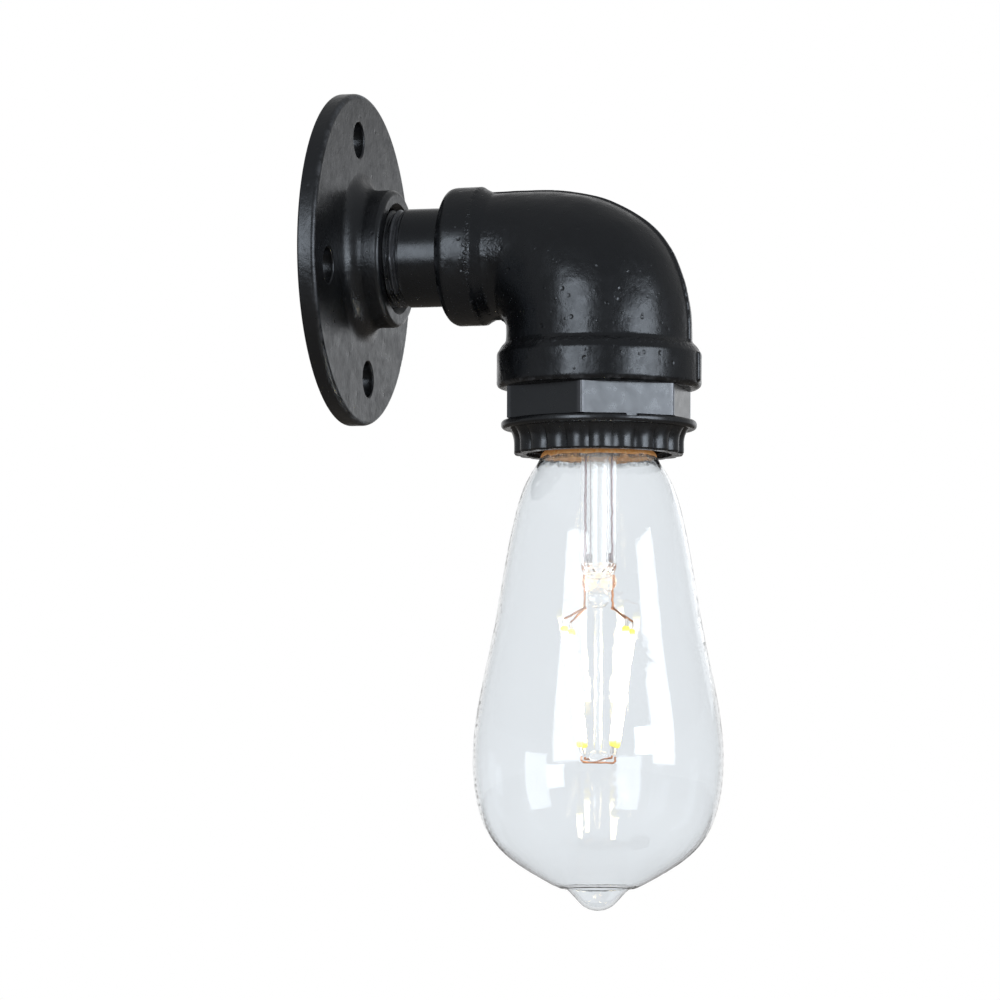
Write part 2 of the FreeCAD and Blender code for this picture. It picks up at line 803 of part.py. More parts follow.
def make_holder_shell():
    """The threaded skirt, with a shoulder that rests on the bushing and a ledge inside."""
    body = turned("holder_body", [
        ("skirt_inner_radius", "holder_top"),
        ("skirt_thread_radius", "holder_top"),
        ("skirt_thread_radius", "shoulder_top"),
        ("shoulder_radius", "shoulder_top"),
        ("shoulder_radius", "bushing_top - 0.05"),
        ("skirt_thread_radius", "bushing_top - 0.05"),
        ("skirt_thread_radius", "skirt_thread_top"),
        ("skirt_inner_radius + 0.6", "skirt_thread_top"),
        ("skirt_inner_radius + 0.6", "skirt_ledge_bottom + 0.5"),
        ("skirt_inner_radius", "skirt_ledge_bottom + 0.5"),
        ("skirt_inner_radius", "skirt_ledge_bottom"),
        ("skirt_ledge_radius", "skirt_ledge_bottom"),
        ("skirt_ledge_radius", "skirt_ledge_top"),
        ("skirt_inner_radius", "skirt_ledge_top"),
    ])
    thread = threaded_tube((mm("skirt_thread_radius - 0.05"), mm("skirt_thread_wave")),
                           (mm("skirt_inner_radius + 0.2"), 0), mm("skirt_thread_pitch"),
                           mm("skirt_thread_top - 0.5"), mm("skirt_bottom"))
    shell = fused("holder_threaded", [body, feature("holder_thread", thread)])
    keep(shell, "holder_shell", place_on_lamp_axis)


def make_holder_block():
    """The insulating block: a cup round the screw shell, with a thick floor above it."""
    cup = turned("block_cup", [
        ("0", "holder_top"),
        ("block_radius", "holder_top"),
        ("block_radius", "skirt_ledge_top - 0.05"),
        ("block_bore_radius", "skirt_ledge_top - 0.05"),
        ("block_bore_radius", "block_floor"),
        ("0", "block_floor"),
    ])
    holes = [
        cylinder("spring_bore", "plunger_collar_radius + 0.2", "holder_top - 1", "block_floor - 1"),
        cylinder("plunger_hole", "plunger_radius + 0.15", "block_floor - 2", "block_floor + 1"),
        block("leg_slot", ("1.2", "4.4", "12"), ("- 12.2", "- 2.2", "holder_top - 1")),
    ]
    holes += in_pair("rivet_hole", "rivet_radius + 0.1", "holder_top - 1", "block_floor + 1", RIVETS)
    holes += in_pair("screw_hole", "cover_screw_radius + 0.1", "holder_top - 1", "block_floor - 2",
                     COVER_SCREWS)
    item = cut("block_pierced", cup, fused("block_holes", holes))
    keep(item, "holder_block", place_on_lamp_axis)


def make_holder_cover():
    """The domed cover over the terminals, with a hole for each lead and each screw."""
    dome = turned("cover_dome", [
        ("0", "cover_top"),
        ("block_radius", "cover_top"),
        ("block_radius", "holder_top - 0.05"),
        ("block_radius - cover_wall", "holder_top - 0.05"),
        ("block_radius - cover_wall", "cover_top + cover_wall"),
        ("0", "cover_top + cover_wall"),
    ])
    round_edge(dome, "block_radius", "cover_top", "cover_round")
    pillars = in_pair("cover_pillar", "cover_pillar_radius", "cover_top + 0.5", "holder_top - 0.05",
                      COVER_SCREWS)
    holes = in_pair("lead_hole", "lead_hole_radius", "cover_top - 1", "cover_top + 3", TERMINALS)
    holes += in_pair("cover_screw_hole", "cover_screw_radius + 0.2", "cover_top - 1",
                     "holder_top + 1", COVER_SCREWS)
    trimmed = common("cover_trimmed", fused("cover_solid", [dome] + pillars), cover_limit())
    keep(cut("cover", trimmed, fused("cover_holes", holes)), "holder_cover", place_on_lamp_axis)


def cover_limit():
    """The cover's outer form, filled, to trim the screw pillars with."""
    limit = turned("cover_limit", [
        ("0", "cover_top"),
        ("block_radius", "cover_top"),
        ("block_radius", "holder_top - 0.05"),
        ("0", "holder_top - 0.05"),
    ])
    round_edge(limit, "block_radius", "cover_top", "cover_round")
    return limit


def make_cover_screws():
    """Two cheese-head screws that hold the cover on the block."""
    solids = []
    for index, (x, y) in enumerate(COVER_SCREWS):
        shank = upright("cover_shank_%d" % index, "cover_screw_radius", "cover_top - 0.1",
                        "block_floor - 3", x, y)
        head = upright("cover_head_%d" % index, "cover_screw_radius + 1.1", "cover_top - 1.4",
                       "cover_top - 0.05", x, y)
        slot = block("cover_slot_%d" % index, ("5", "0.7", "0.8"),
                     (x + " - 2.5", y + " - 0.35", "cover_top - 1.8"))
        solids.append(cut("cover_screw_%d" % index, fused("cover_bolt_%d" % index, [shank, head]),
                          slot))
    keep(compound("cover_screw_pair", solids), "cover_screws", place_on_lamp_axis)


def compound(name, items):
    item = doc.addObject("Part::Compound", name)
    item.Links = items
    return item


def make_screw_shell():
    """The threaded contact that the lamp's cap screws into, open below."""
    crest = mm("lamp_thread_radius + shell_thread_clearance")
    wave = mm("lamp_thread_wave")
    wall = mm("shell_wall")
    thread = threaded_tube((crest + wall, wave), (crest, wave), mm("lamp_thread_pitch"),
                           mm("shell_plain_bottom"), mm("shell_bottom"))
    outer = "lamp_thread_radius + shell_thread_clearance + shell_wall + 0.1"
    cup = turned("shell_cup", [
        ("7.5", "block_floor + 0.05"),
        (outer, "block_floor + 0.05"),
        (outer, "shell_plain_bottom + 0.2"),
        (outer + " - shell_wall - 1.3", "shell_plain_bottom + 0.2"),
        (outer + " - shell_wall - 1.3", "shell_plain_bottom - 0.2"),
        (outer + " - shell_wall - 0.1", "shell_plain_bottom - 0.2"),
        (outer + " - shell_wall - 0.1", "block_floor + 0.45"),
        ("7.5", "block_floor + 0.45"),
    ])
    holes = in_pair("shell_rivet", "rivet_radius + 0.1", "block_floor - 1", "block_floor + 1", RIVETS)
    pierced = cut("shell_pierced", cup, fused("shell_holes", holes))
    shell = fused("shell", [pierced, feature("shell_thread", thread)])
    keep(shell, "screw_shell", place_on_lamp_axis)


def make_shell_rivets():
    """Two hollow-headed rivets that hold the screw shell up against the block."""
    solids = []
    for index, (x, y) in enumerate(RIVETS):
        parts = [upright("rivet_shank_%d" % index, "rivet_radius", "holder_top - 0.3",
                         "block_floor + 0.6", x, y),
                 upright("rivet_head_%d" % index, "rivet_radius + 0.9", "block_floor + 0.5",
                         "block_floor + 1.1", x, y),
                 upright("rivet_tail_%d" % index, "rivet_radius + 0.7", "holder_top - 0.6",
                         "holder_top - 0.05", x, y)]
        solids.append(fused("rivet_%d" % index, parts))
    keep(compound("rivet_pair", solids), "shell_rivets", place_on_lamp_axis)


def terminal_sleeve(name, x):
    """A brass sleeve on a tab, bored from above for a lead and from the side for its screw."""
    body = block(name + "_sleeve", ("4.4", "4.6", "4"),
                 (x + " - 2.2", "- 2.3", "holder_top - 4.6"))
    wire_hole = upright(name + "_wire_hole", "0.95", "holder_top - 5", "holder_top - 0.9", x)
    screw_hole = doc.addObject("Part::Cylinder", name + "_screw_hole")
    bind(screw_hole, Radius="1", Height="3")
    screw_hole.Placement = Placement(Vector(0, 0, 0), Rotation(Vector(1, 0, 0), -90))
    screw_hole.setExpression("Placement.Base.x", full(x))
    screw_hole.setExpression("Placement.Base.z", full("holder_top - 2.6"))
    return body, fused(name + "_holes", [wire_hole, screw_hole])


def make_live_terminal():
    """The live strip: a sleeve at one side and a tongue that caps the plunger's spring."""
    sleeve, holes = terminal_sleeve("live", "terminal_offset")
    tongue = block("live_tongue", ("terminal_offset + 5.2", "5", "strip_thickness"),
                   ("- 3", "- 2.5", "holder_top - 0.05 - strip_thickness"))
    solid = fused("live_solid", [sleeve, tongue])
    keep(cut("live", solid, holes), "live_terminal", place_on_lamp_axis)


def make_neutral_terminal():
    """The neutral strip: a sleeve, a tab out to the rim and a leg down to the screw shell."""
    sleeve, holes = terminal_sleeve("neutral", "- terminal_offset")
    tab = block("neutral_tab", ("8.2", "4", "strip_thickness"),
                ("- 12", "- 2", "holder_top - 0.05 - strip_thickness"))
    leg = block("neutral_leg", ("0.8", "4", "block_floor - holder_top + strip_thickness"),
                ("- 12", "- 2", "holder_top - strip_thickness"))
    solid = fused("neutral_solid", [sleeve, tab, leg])
    keep(cut("neutral", solid, holes), "neutral_terminal", place_on_lamp_axis)


def make_terminal_screws():
    """One grub screw in the side of each sleeve, pressing on the bared end of the lead."""
    solids = []
    for index, x in enumerate(("terminal_offset", "- terminal_offset")):
        screw = doc.addObject("Part::Cylinder", "grub_%d" % index)
        bind(screw, Radius="0.95", Height="2.2")
        screw.Placement = Placement(Vector(0, 0, 0), Rotation(Vector(1, 0, 0), -90))
        screw.setExpression("Placement.Base.x", full(x))
        screw.setExpression("Placement.Base.y", full("lead_core_radius + 0.05"))
        screw.setExpression("Placement.Base.z", full("holder_top - 2.6"))
        slot = block("grub_slot_%d" % index, ("0.4", "0.5", "2.2"),
                     (x + " - 0.2", "lead_core_radius + 1.95", "holder_top - 3.7"))
        solids.append(cut("grub_screw_%d" % index, screw, slot))
    keep(compound("grub_pair", solids), "terminal_screws", place_on_lamp_axis)


def make_contact_plunger():
    """The sprung centre contact: a domed tip, a collar that stops it and a guide stem."""
    plunger = turned("plunger", [
        ("0", "block_floor - 4.6"),
        ("1.1", "block_floor - 4.6"),
        ("1.1", "block_floor - 1.9"),
        ("plunger_collar_radius", "block_floor - 1.9"),
        ("plunger_collar_radius", "block_floor - 1.05"),
        ("plunger_radius", "block_floor - 1.05"),
        ("plunger_radius", "cap_button_top - 0.8"),
        ("1.6", "cap_button_top - 0.03"),
        ("0", "cap_button_top - 0.03"),
    ])
    keep(plunger, "contact_plunger", place_on_lamp_axis)


def make_contact_spring():
    """The coil spring between the plunger's collar and the live strip."""
    wire_radius = 0.22
    coil_radius = 1.75
    bottom = mm("block_floor - 1.9") - wire_radius - 0.02
    top = mm("holder_top") + wire_radius + 0.02
    turns = 5
    helix = Part.makeHelix((bottom - top) / turns, bottom - top, coil_radius)
    helix.translate(Vector(0, 0, top))
    start = Vector(coil_radius, 0, top)
    section = Part.Wire([Part.Circle(start, Vector(0, 1, 0.1), wire_radius).toShape()])
    spring = Part.Wire(helix.Edges).makePipeShell([section], True, True)
    keep(feature("spring", spring), "contact_spring", place_on_lamp_axis)


# ---- leads -----------------------------------------------------------------------------------

def lead_route(side):
    """Points of a lead in the main frame: out of the wall, apart, then down to its terminal."""
    reach = mm("elbow_reach")
    near = side * mm("lead_spacing")
    apart = side * mm("terminal_offset")
    up = mm("lead_height")
    return [Vector(near, -mm("lead_start"), up),
            Vector(near, -mm("lead_spread_start"), up),
            Vector(apart, -reach, up),
            Vector(apart, -reach, -mm("lead_end_drop"))]


def lead_bends(route):
    """Each arc is as large as its two runs allow."""
    radii = []
    for index in range(1, len(route) - 1):
        back = route[index - 1] - route[index]
        ahead = route[index + 1] - route[index]
        half_turn = (math.pi - back.getAngle(ahead)) / 2
        radii.append(0.45 * min(back.Length, ahead.Length) / math.tan(half_turn))
    return radii


def route_length(route, bends):
    """The length of a route of straight runs joined by tangent arcs."""
    total = sum((after - before).Length for before, after in zip(route, route[1:]))
    for index, radius in enumerate(bends, 1):
        back = route[index - 1] - route[index]
        ahead = route[index + 1] - route[index]
        turn = math.pi - back.getAngle(ahead)
        total += radius * (turn - 2 * math.tan(turn / 2))
    return total


def make_lead(label, side):
    """An insulated lead with its bared copper end in the terminal."""
    route = lead_route(side)
    bends = lead_bends(route)
    print(label, "bend radii", [round(radius, 1) for radius in bends])
    radius = mm("lead_radius")
    cover = rod_along(route, radius, bends)
    plain = math.pi * radius ** 2 * route_length(route, bends)
    print(label, "volume %.1f mm3, section times length %.1f mm3" % (cover.Volume, plain))
    core = Part.makeCylinder(mm("lead_core_radius"),
                             mm("lead_core_end_drop - lead_end_drop + 1"),
                             route[-1] + Vector(0, 0, 1), Vector(0, 0, -1))
    keep(feature(label + "_shape", cover.fuse(core)), label)


def make_lead_ferrules():
    """A crimped ferrule on the wall end of each lead."""
    ferrules = []
    for side in (1, -1):
        end = lead_route(side)[0]
        barrel = Part.makeCylinder(mm("ferrule_radius"), 3.0, end + Vector(0, 1.5, 0),
                                   Vector(0, -1, 0))
        pocket = Part.makeCylinder(mm("lead_radius"), 1.5, end, Vector(0, -1, 0))
        pin = Part.makeCylinder(0.8, mm("ferrule_length") - 1.5, end + Vector(0, 1.4, 0),
                                Vector(0, 1, 0))
        ferrules.append(barrel.cut(pocket).fuse(pin))
    keep(feature("ferrule_pair", Part.makeCompound(ferrules)), "lead_ferrules")


# ---- cap of the lamp -------------------------------------------------------------------------

def make_cap_shell():
    """The thin screw shell of the lamp's cap: collar, thread and a shoulder closing in."""
    crest = mm("lamp_thread_radius")
    wave = mm("lamp_thread_wave")
    wall = mm("cap_wall")
    thread = threaded_tube((crest, wave), (crest - wall, wave), mm("lamp_thread_pitch"),
                           mm("cap_thread_top"), mm("cap_collar_top"))
    collar = turned("cap_collar", [
        ("cap_collar_radius - cap_wall", "cap_rim"),
        ("cap_collar_radius", "cap_rim"),
        ("cap_collar_radius", "cap_collar_top - 0.15"),
        ("lamp_thread_radius - lamp_thread_wave * 2 - 0.1", "cap_collar_top - 0.15"),
        ("lamp_thread_radius - lamp_thread_wave * 2 - 0.1", "cap_collar_top + 0.15"),
        ("cap_collar_radius - cap_wall", "cap_collar_top + 0.15"),
    ])
    step = "lamp_thread_radius - lamp_thread_wave * 2 - 0.1"
    shoulder = turned("cap_shoulder", [
        ("cap_shoulder_radius", "cap_shoulder_top"),
        (step, "cap_thread_top - 0.3"),
        (step, "cap_thread_top + 0.2"),
        (step + " - cap_wall", "cap_thread_top + 0.2"),
        (step + " - cap_wall", "cap_thread_top - 0.1"),
        ("cap_shoulder_radius", "cap_shoulder_top + 0.4"),
    ])
    brim = threaded_tube((crest - wall / 5, wave), (mm(step + " - cap_wall * 1.2"), 0),
                         mm("lamp_thread_pitch"), mm("cap_thread_top"), mm("cap_thread_top + 0.25"))
    shell = fused("cap", [collar, shoulder, feature("cap_thread", thread),
                          feature("cap_brim", brim)])
    keep(shell, "cap_shell", place_on_lamp_axis)


def make_cap_insulator():
    """The dark glass cone between the cap's shell and its centre contact."""
    cone = turned("cap_cone", [
        ("2.2", "cap_button_base + 0.05"),
        ("cap_button_radius", "cap_button_base + 0.05"),
        ("cap_shoulder_radius - 0.05", "cap_shoulder_top"),
        ("cap_shoulder_radius - 0.05", "cap_shoulder_top + 0.6"),
        ("2.2", "cap_shoulder_top + 0.6"),
    ])
    keep(cone, "cap_insulator", place_on_lamp_axis)


def make_cap_contact():
    """The round centre contact at the end of the cap, with its soldered stub."""
    button = turned("cap_button", [
        ("0", "cap_button_top"),
        ("cap_button_radius - 1.2", "cap_button_top"),
        ("cap_button_radius", "cap_button_base - 0.3"),
        ("cap_button_radius", "cap_button_base"),
        ("2.1", "cap_button_base"),
        ("2.1", "cap_button_base + 2"),
        ("0", "cap_button_base + 2"),
    ])
    keep(button, "cap_contact", place_on_lamp_axis)


def make_cap_cement():
    """The ring of cement between the glass neck and the cap's collar."""
    cement = turned("cement", [
        ("glass_neck_radius + 0.05", "glass_neck_top + 0.3"),
        ("cap_collar_radius - cap_wall - 0.05", "glass_neck_top + 0.3"),
        ("cap_collar_radius - cap_wall - 0.05", "cap_rim - 0.3"),
        ("glass_neck_radius + 0.05", "cap_rim - 0.3"),
    ])
    keep(cement, "cap_cement", place_on_lamp_axis)


def make_driver_board():
    """The small driver board that stands beside the exhaust tube, and what is on it."""
    board = block("board", ("1", "15", "11"), ("3.6", "- 7.5", "33"))
    keep(compound("board_set", [board]), "driver_board", place_on_lamp_axis)
    coil = upright("smoothing_can", "2.4", "33.5", "42", "7.1", "- 3.5")
    chip = block("driver_chip", ("1.4", "3.8", "4.8"), ("4.65", "1", "34"))
    bridge = block("rectifier", ("2", "4.6", "4"), ("4.65", "1", "39.6"))
    resistor = block("resistor", ("1", "1.8", "4"), ("2.5", "4.6", "35"))
    parts = compound("board_parts", [coil, chip, bridge, resistor])
    keep(parts, "driver_components", place_on_lamp_axis)


# ---- glass of the lamp -----------------------------------------------------------------------

def glass_stations():
    """The outline from the mouth to the pip, as (radius, drop) points of one smooth curve."""
    names = ("mouth", "shoulder", "upper", "middle", "belly", "turn", "base", "pip_root", "pip")
    return [Vector(mm("glass_%s_radius" % name), 0, mm("glass_%s_drop" % name))
            for name in names]


def tip_arc(wall):
    """The arc that rounds the pip off on the axis, and the curve's direction where it starts."""
    width = mm("glass_pip_radius")
    rise = mm("glass_tip_drop - glass_pip_drop")
    radius = (width ** 2 + rise ** 2) / (2 * rise)
    centre = Vector(0, 0, mm("glass_tip_drop") - radius)
    turn = math.asin(width / radius)
    points = [centre + Vector(math.sin(turn * part), 0, math.cos(turn * part)) * (radius - wall)
              for part in (1, 0.5, 0)]
    return Part.Arc(*points), Vector(-math.cos(turn), 0, math.sin(turn))


def glass_curve(points, final):
    """A smooth curve through the stations that runs on into the tip's arc."""
    curve = Part.BSplineCurve()
    flow = (points[1] - points[0]).normalize()
    curve.interpolate(Points=points, InitialTangent=flow, FinalTangent=final)
    return curve


def inset(curve, points, wall):
    """The stations moved inwards across the curve by the wall's thickness."""
    moved = []
    for point in points:
        tangent = curve.tangent(curve.parameter(point))[0]
        moved.append(point + Vector(-tangent.z, 0, tangent.x) * wall)
    return moved


def make_bulb_glass():
    """The clear envelope: a straight neck in the cap, a long taper, a full belly and a pip."""
    wall = mm("glass_wall")
    outer_arc, final = tip_arc(0)
    inner_arc = tip_arc(wall)[0]
    outer_points = glass_stations()
    outer = glass_curve(outer_points, final)
    inner_points = inset(outer, outer_points[:-1], wall) + [inner_arc.StartPoint]
    inner = glass_curve(inner_points, final)
    neck = mm("glass_neck_radius")
    top = mm("glass_neck_top")
    corners = [Vector(neck, 0, top), Vector(neck, 0, mm("cap_rim - 0.2")), outer_points[0]]
    inner_corners = [inner_points[0], Vector(neck - wall, 0, mm("cap_rim")),
                     Vector(neck - wall, 0, top)]
    edges = [Part.makeLine(corners[0], corners[1]), Part.makeLine(corners[1], corners[2]),
             outer.toShape(), outer_arc.toShape(),
             Part.makeLine(outer_arc.EndPoint, inner_arc.EndPoint),
             inner_arc.toShape(), inner.toShape(),
             Part.makeLine(inner_corners[0], inner_corners[1]),
             Part.makeLine(inner_corners[1], inner_corners[2]),
             Part.makeLine(inner_corners[2], corners[0])]
    outline = Part.Wire(Part.__sortEdges__(edges))
    glass = Part.Face(outline).revolve(Vector(0, 0, 0), Vector(0, 0, 1), 360)
    keep(feature("glass", glass), "bulb_glass", place_on_lamp_axis)


def make_stem_glass():
    """The glass stem: flare, tube, flattened pinch, ball and the rod that carries the bead."""
    wall = "stem_tube_wall"
    flare = turned("stem_flare", [
        ("stem_flare_radius - " + wall, "stem_flare_drop"),
        ("stem_flare_radius", "stem_flare_drop"),
        ("stem_tube_radius + 2", "stem_tube_start - 2.6"),
        ("stem_tube_radius", "stem_tube_start"),
        ("stem_tube_radius", "pinch_top - 0.4"),
        ("stem_tube_radius - 0.7", "pinch_top + 1.3"),
        ("stem_tube_radius - 2.2", "pinch_top + 2.4"),
        ("0", "pinch_top + 2.4"),
        ("0", "pinch_top + 0.7"),
        ("stem_tube_radius - " + wall + " - 2.3", "pinch_top + 0.5"),
        ("stem_tube_radius - " + wall + " - 0.9", "pinch_top - 0.2"),
        ("stem_tube_radius - " + wall, "pinch_top - 1.6"),
        ("stem_tube_radius - " + wall, "stem_tube_start - 0.6"),
        ("stem_tube_radius + 1.4", "stem_tube_start - 3.2"),
    ])
    pinch = doc.addObject("Part::Ellipsoid", "pinch")
    bind(pinch, Radius1="( pinch_bottom - pinch_top ) * 0.62", Radius2="pinch_width / 2",
         Radius3="pinch_depth / 2")
    pinch.Placement = Placement(Vector(0, 0, 0), Rotation(Vector(0, 0, 1), -LAMP_TURN))
    pinch.setExpression("Placement.Base.z", full("( pinch_top + pinch_bottom ) / 2"))
    ball = doc.addObject("Part::Sphere", "stem_ball")
    bind(ball, Radius="stem_ball_radius")
    ball.setExpression("Placement.Base.z", full("stem_ball_drop"))
    rod = cylinder("stem_rod", "stem_rod_radius", "stem_ball_drop", "bead_drop")
    bead = doc.addObject("Part::Ellipsoid", "stem_bead")
    bind(bead, Radius1="bead_radius * 0.62", Radius2="bead_radius", Radius3="bead_radius")
    bead.setExpression("Placement.Base.z", full("bead_drop"))
    keep(fused("stem", [flare, pinch, ball, rod, bead]), "stem_glass", place_on_lamp_axis)


def make_exhaust_tube():
    """The narrow tube inside the stem, sealed off at its upper end in the cap."""
    tube = turned("exhaust", [
        ("0", "exhaust_top"),
        ("exhaust_radius * 0.6", "exhaust_top"),
        ("exhaust_radius", "exhaust_top + 1.6"),
        ("exhaust_radius", "exhaust_bottom"),
        ("exhaust_bore_radius", "exhaust_bottom"),
        ("exhaust_bore_radius", "exhaust_top + 2"),
        ("0", "exhaust_top + 1.2"),
    ])
    keep(tube, "exhaust_tube", place_on_lamp_axis)


def filament_ends(turn):
    """The upper and lower ends of the filament that stands at a turn about the axis."""
    return (polar(mm("filament_top_spread"), turn, mm("filament_top_drop")),
            polar(mm("filament_bottom_spread"), turn, mm("filament_bottom_drop")))


def tab_ends(turn):
    """Where the metal tabs of a filament end, above and below it."""
    top, bottom = filament_ends(turn)
    along = (bottom - top).normalize()
    length = mm("filament_tab_length")
    return top - along * length, bottom + along * length


def make_filaments():
    """Four straight filaments that lean in towards the bead, each with two metal tabs."""
    for number, turn in enumerate(FILAMENT_TURNS, 1):
        top, bottom = filament_ends(turn)
        along = (bottom - top).normalize()
        length = (bottom - top).Length
        stick = Part.makeCylinder(mm("filament_radius"), length, top, along)
        ends = [edge for edge in stick.Edges if isinstance(edge.Curve, Part.Circle)]
        stick = stick.makeFillet(mm("filament_radius") * 0.6, ends)
        keep(feature("filament_stick_%d" % number, stick), "filament_%d" % number,
             place_on_lamp_axis)


def make_filament_tabs():
    """The eight metal tabs at the ends of the filaments."""
    tabs = []
    for turn in FILAMENT_TURNS:
        for end, tip in zip(filament_ends(turn), tab_ends(turn)):
            along = (tip - end).normalize()
            tabs.append(Part.makeCylinder(0.4, (tip - end).Length - 0.05, end + along * 0.05, along))
    keep(feature("tab_set", Part.makeCompound(tabs)), "filament_tabs", place_on_lamp_axis)


def make_lamp_wire(label, turn, filaments):
    """A wire from the driver down through the pinch, forking to two filaments."""
    radius = mm("lamp_wire_radius")
    offset = mm("lamp_wire_offset")
    top = polar(offset, turn, mm("lamp_wire_top"))
    fork = polar(offset + 0.3, turn, mm("lamp_wire_fork_drop"))
    wire = rod_along([top, fork], radius)
    knot = Part.makeSphere(radius * 1.6, fork)
    wire = wire.fuse(knot)
    for filament in filaments:
        tip = tab_ends(filament)[0]
        along = (tip - fork).normalize()
        end = tip - along * 0.45
        arm = Part.makeCylinder(radius, (end - fork).Length, fork, along)
        wire = wire.fuse(arm)
    keep(feature(label + "_shape", wire), label, place_on_lamp_axis)


def make_bead_wires():
    """Two wires held in the bead, each joining the lower ends of two filaments."""
    wires = []
    radius = 0.25
    for first, second, lift in BEAD_WIRE_PAIRS:
        level = mm("bead_drop") + 1.2 + lift
        ends = [tab_ends(turn)[1] for turn in (first, second)]
        corners = [Vector(end.x, end.y, level) for end in ends]
        route = [ends[0] + Vector(0, 0, 0.45), corners[0], corners[1],
                 ends[1] + Vector(0, 0, 0.45)]
        bends = [0.45 * (corners[0] - route[0]).Length] * 2
        wires.append(rod_along(route, radius, bends))
    keep(feature("bead_wire_pair", Part.makeCompound(wires)), "bead_wires", place_on_lamp_axis)


# ---- checks and export -----------------------------------------------------------------------

def check_document():
    """Stops on any failed object and any sub-part that is empty or not valid."""
    doc.recompute()
    for item in doc.Objects:
        failed = [state for state in item.State if state in ("Invalid", "Error")]
        assert not failed, "%s is %s" % (item.Name, item.State)
    for item in subparts:
        assert not item.Shape.isNull(), item.Label + " is empty"
        assert item.Shape.isValid(), item.Label + " is not valid"
        assert item.Shape.Solids, item.Label + " has no solid"


def export_subparts():
    os.makedirs("parts", exist_ok=True)
    for item in subparts:
        item.Shape.exportStep("parts/%s.step" % item.Label)
        solids = item.Shape.Solids
        print("%-18s %2d solids %9.1f mm3" % (item.Label, len(solids), item.Shape.Volume))


fill_sheet()
make_wall_flange()
make_pipe_nipple()
make_reducing_elbow()
make_hex_bushing()
make_shade_ring()
make_ring_washer()
make_holder_shell()
make_holder_block()
make_holder_cover()
make_cover_screws()
make_screw_shell()
make_shell_rivets()
make_live_terminal()
make_neutral_terminal()
make_terminal_screws()
make_contact_plunger()
make_contact_spring()
make_lead("live_lead", 1)
make_lead("neutral_lead", -1)
make_lead_ferrules()
make_cap_shell()
make_cap_insulator()
make_cap_contact()
make_cap_cement()
make_driver_board()
make_bulb_glass()
make_stem_glass()
make_exhaust_tube()
make_filaments()
make_filament_tabs()
make_lamp_wire("live_lamp_wire", LAMP_TURN - 180, FILAMENT_TURNS[:2])
make_lamp_wire("neutral_lamp_wire", LAMP_TURN, FILAMENT_TURNS[2:])
make_bead_wires()
check_document()
export_subparts()
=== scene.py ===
"""Pipe wall light: black cast pipe fittings on a wall flange, with a lit clear filament lamp."""

import json
import math

import bmesh
import bpy
from mathutils import Matrix, Vector
from mathutils import noise as hash_noise


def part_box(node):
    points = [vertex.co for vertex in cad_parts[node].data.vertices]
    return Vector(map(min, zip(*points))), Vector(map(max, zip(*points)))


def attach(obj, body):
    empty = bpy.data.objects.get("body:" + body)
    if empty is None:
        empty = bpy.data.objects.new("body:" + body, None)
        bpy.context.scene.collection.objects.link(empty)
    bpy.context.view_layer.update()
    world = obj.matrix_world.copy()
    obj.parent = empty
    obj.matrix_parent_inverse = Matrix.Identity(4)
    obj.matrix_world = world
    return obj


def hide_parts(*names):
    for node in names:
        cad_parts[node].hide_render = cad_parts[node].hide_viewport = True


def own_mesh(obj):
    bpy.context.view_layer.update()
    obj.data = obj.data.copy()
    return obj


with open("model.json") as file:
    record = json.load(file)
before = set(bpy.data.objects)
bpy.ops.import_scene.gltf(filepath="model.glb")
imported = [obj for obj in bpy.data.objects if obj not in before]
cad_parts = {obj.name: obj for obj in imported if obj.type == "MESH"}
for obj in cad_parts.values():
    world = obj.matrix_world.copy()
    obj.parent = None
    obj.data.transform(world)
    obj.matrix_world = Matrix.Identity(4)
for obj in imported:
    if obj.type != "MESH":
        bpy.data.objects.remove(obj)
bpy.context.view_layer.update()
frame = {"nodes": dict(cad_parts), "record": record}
nodes = frame["nodes"]

MM = 0.001
LAMP_AXIS = (0.0, -0.068, 0.0)      # a point on the lamp's upright axis
LAMP_TURN = 286.0                   # degrees in plan to the neutral wire of the lamp


# ---- node trees --------------------------------------------------------------------------------

def new_material(name):
    """A material with a Principled shader and an output: returns it with its tree and shader."""
    material = bpy.data.materials.new(name)
    material.use_nodes = True
    tree = material.node_tree
    shader = tree.nodes["Principled BSDF"]
    return material, tree, shader


def add(tree, kind, **values):
    """A node with its properties set, or its inputs where the name starts with in_."""
    node = tree.nodes.new(kind)
    for name, value in values.items():
        if name.startswith("in_"):
            node.inputs[name[3:].replace("_", " ")].default_value = value
        else:
            setattr(node, name, value)
    return node


def place(tree):
    """The position on the object in metres, the same on every piece."""
    return add(tree, "ShaderNodeTexCoord").outputs["Object"]


def noise(tree, where, size, detail=2.0, roughness=0.5):
    """Soft noise whose blobs are about size millimetres across."""
    node = add(tree, "ShaderNodeTexNoise", in_Scale=1.0 / (size * MM), in_Detail=detail,
               in_Roughness=roughness)
    tree.links.new(where, node.inputs["Vector"])
    return node.outputs["Fac"]


def spots(tree, where, spacing):
    """Distance to the nearest of many scattered points, spacing millimetres apart."""
    node = add(tree, "ShaderNodeTexVoronoi", in_Scale=1.0 / (spacing * MM))
    tree.links.new(where, node.inputs["Vector"])
    return node.outputs["Distance"]


def remap(tree, value, low, high, to_low=0.0, to_high=1.0):
    """A value carried from one range to another, held at the ends."""
    node = add(tree, "ShaderNodeMapRange", clamp=True)
    for name, number in (("From Min", low), ("From Max", high),
                         ("To Min", to_low), ("To Max", to_high)):
        node.inputs[name].default_value = number
    tree.links.new(value, node.inputs["Value"])
    return node.outputs["Result"]


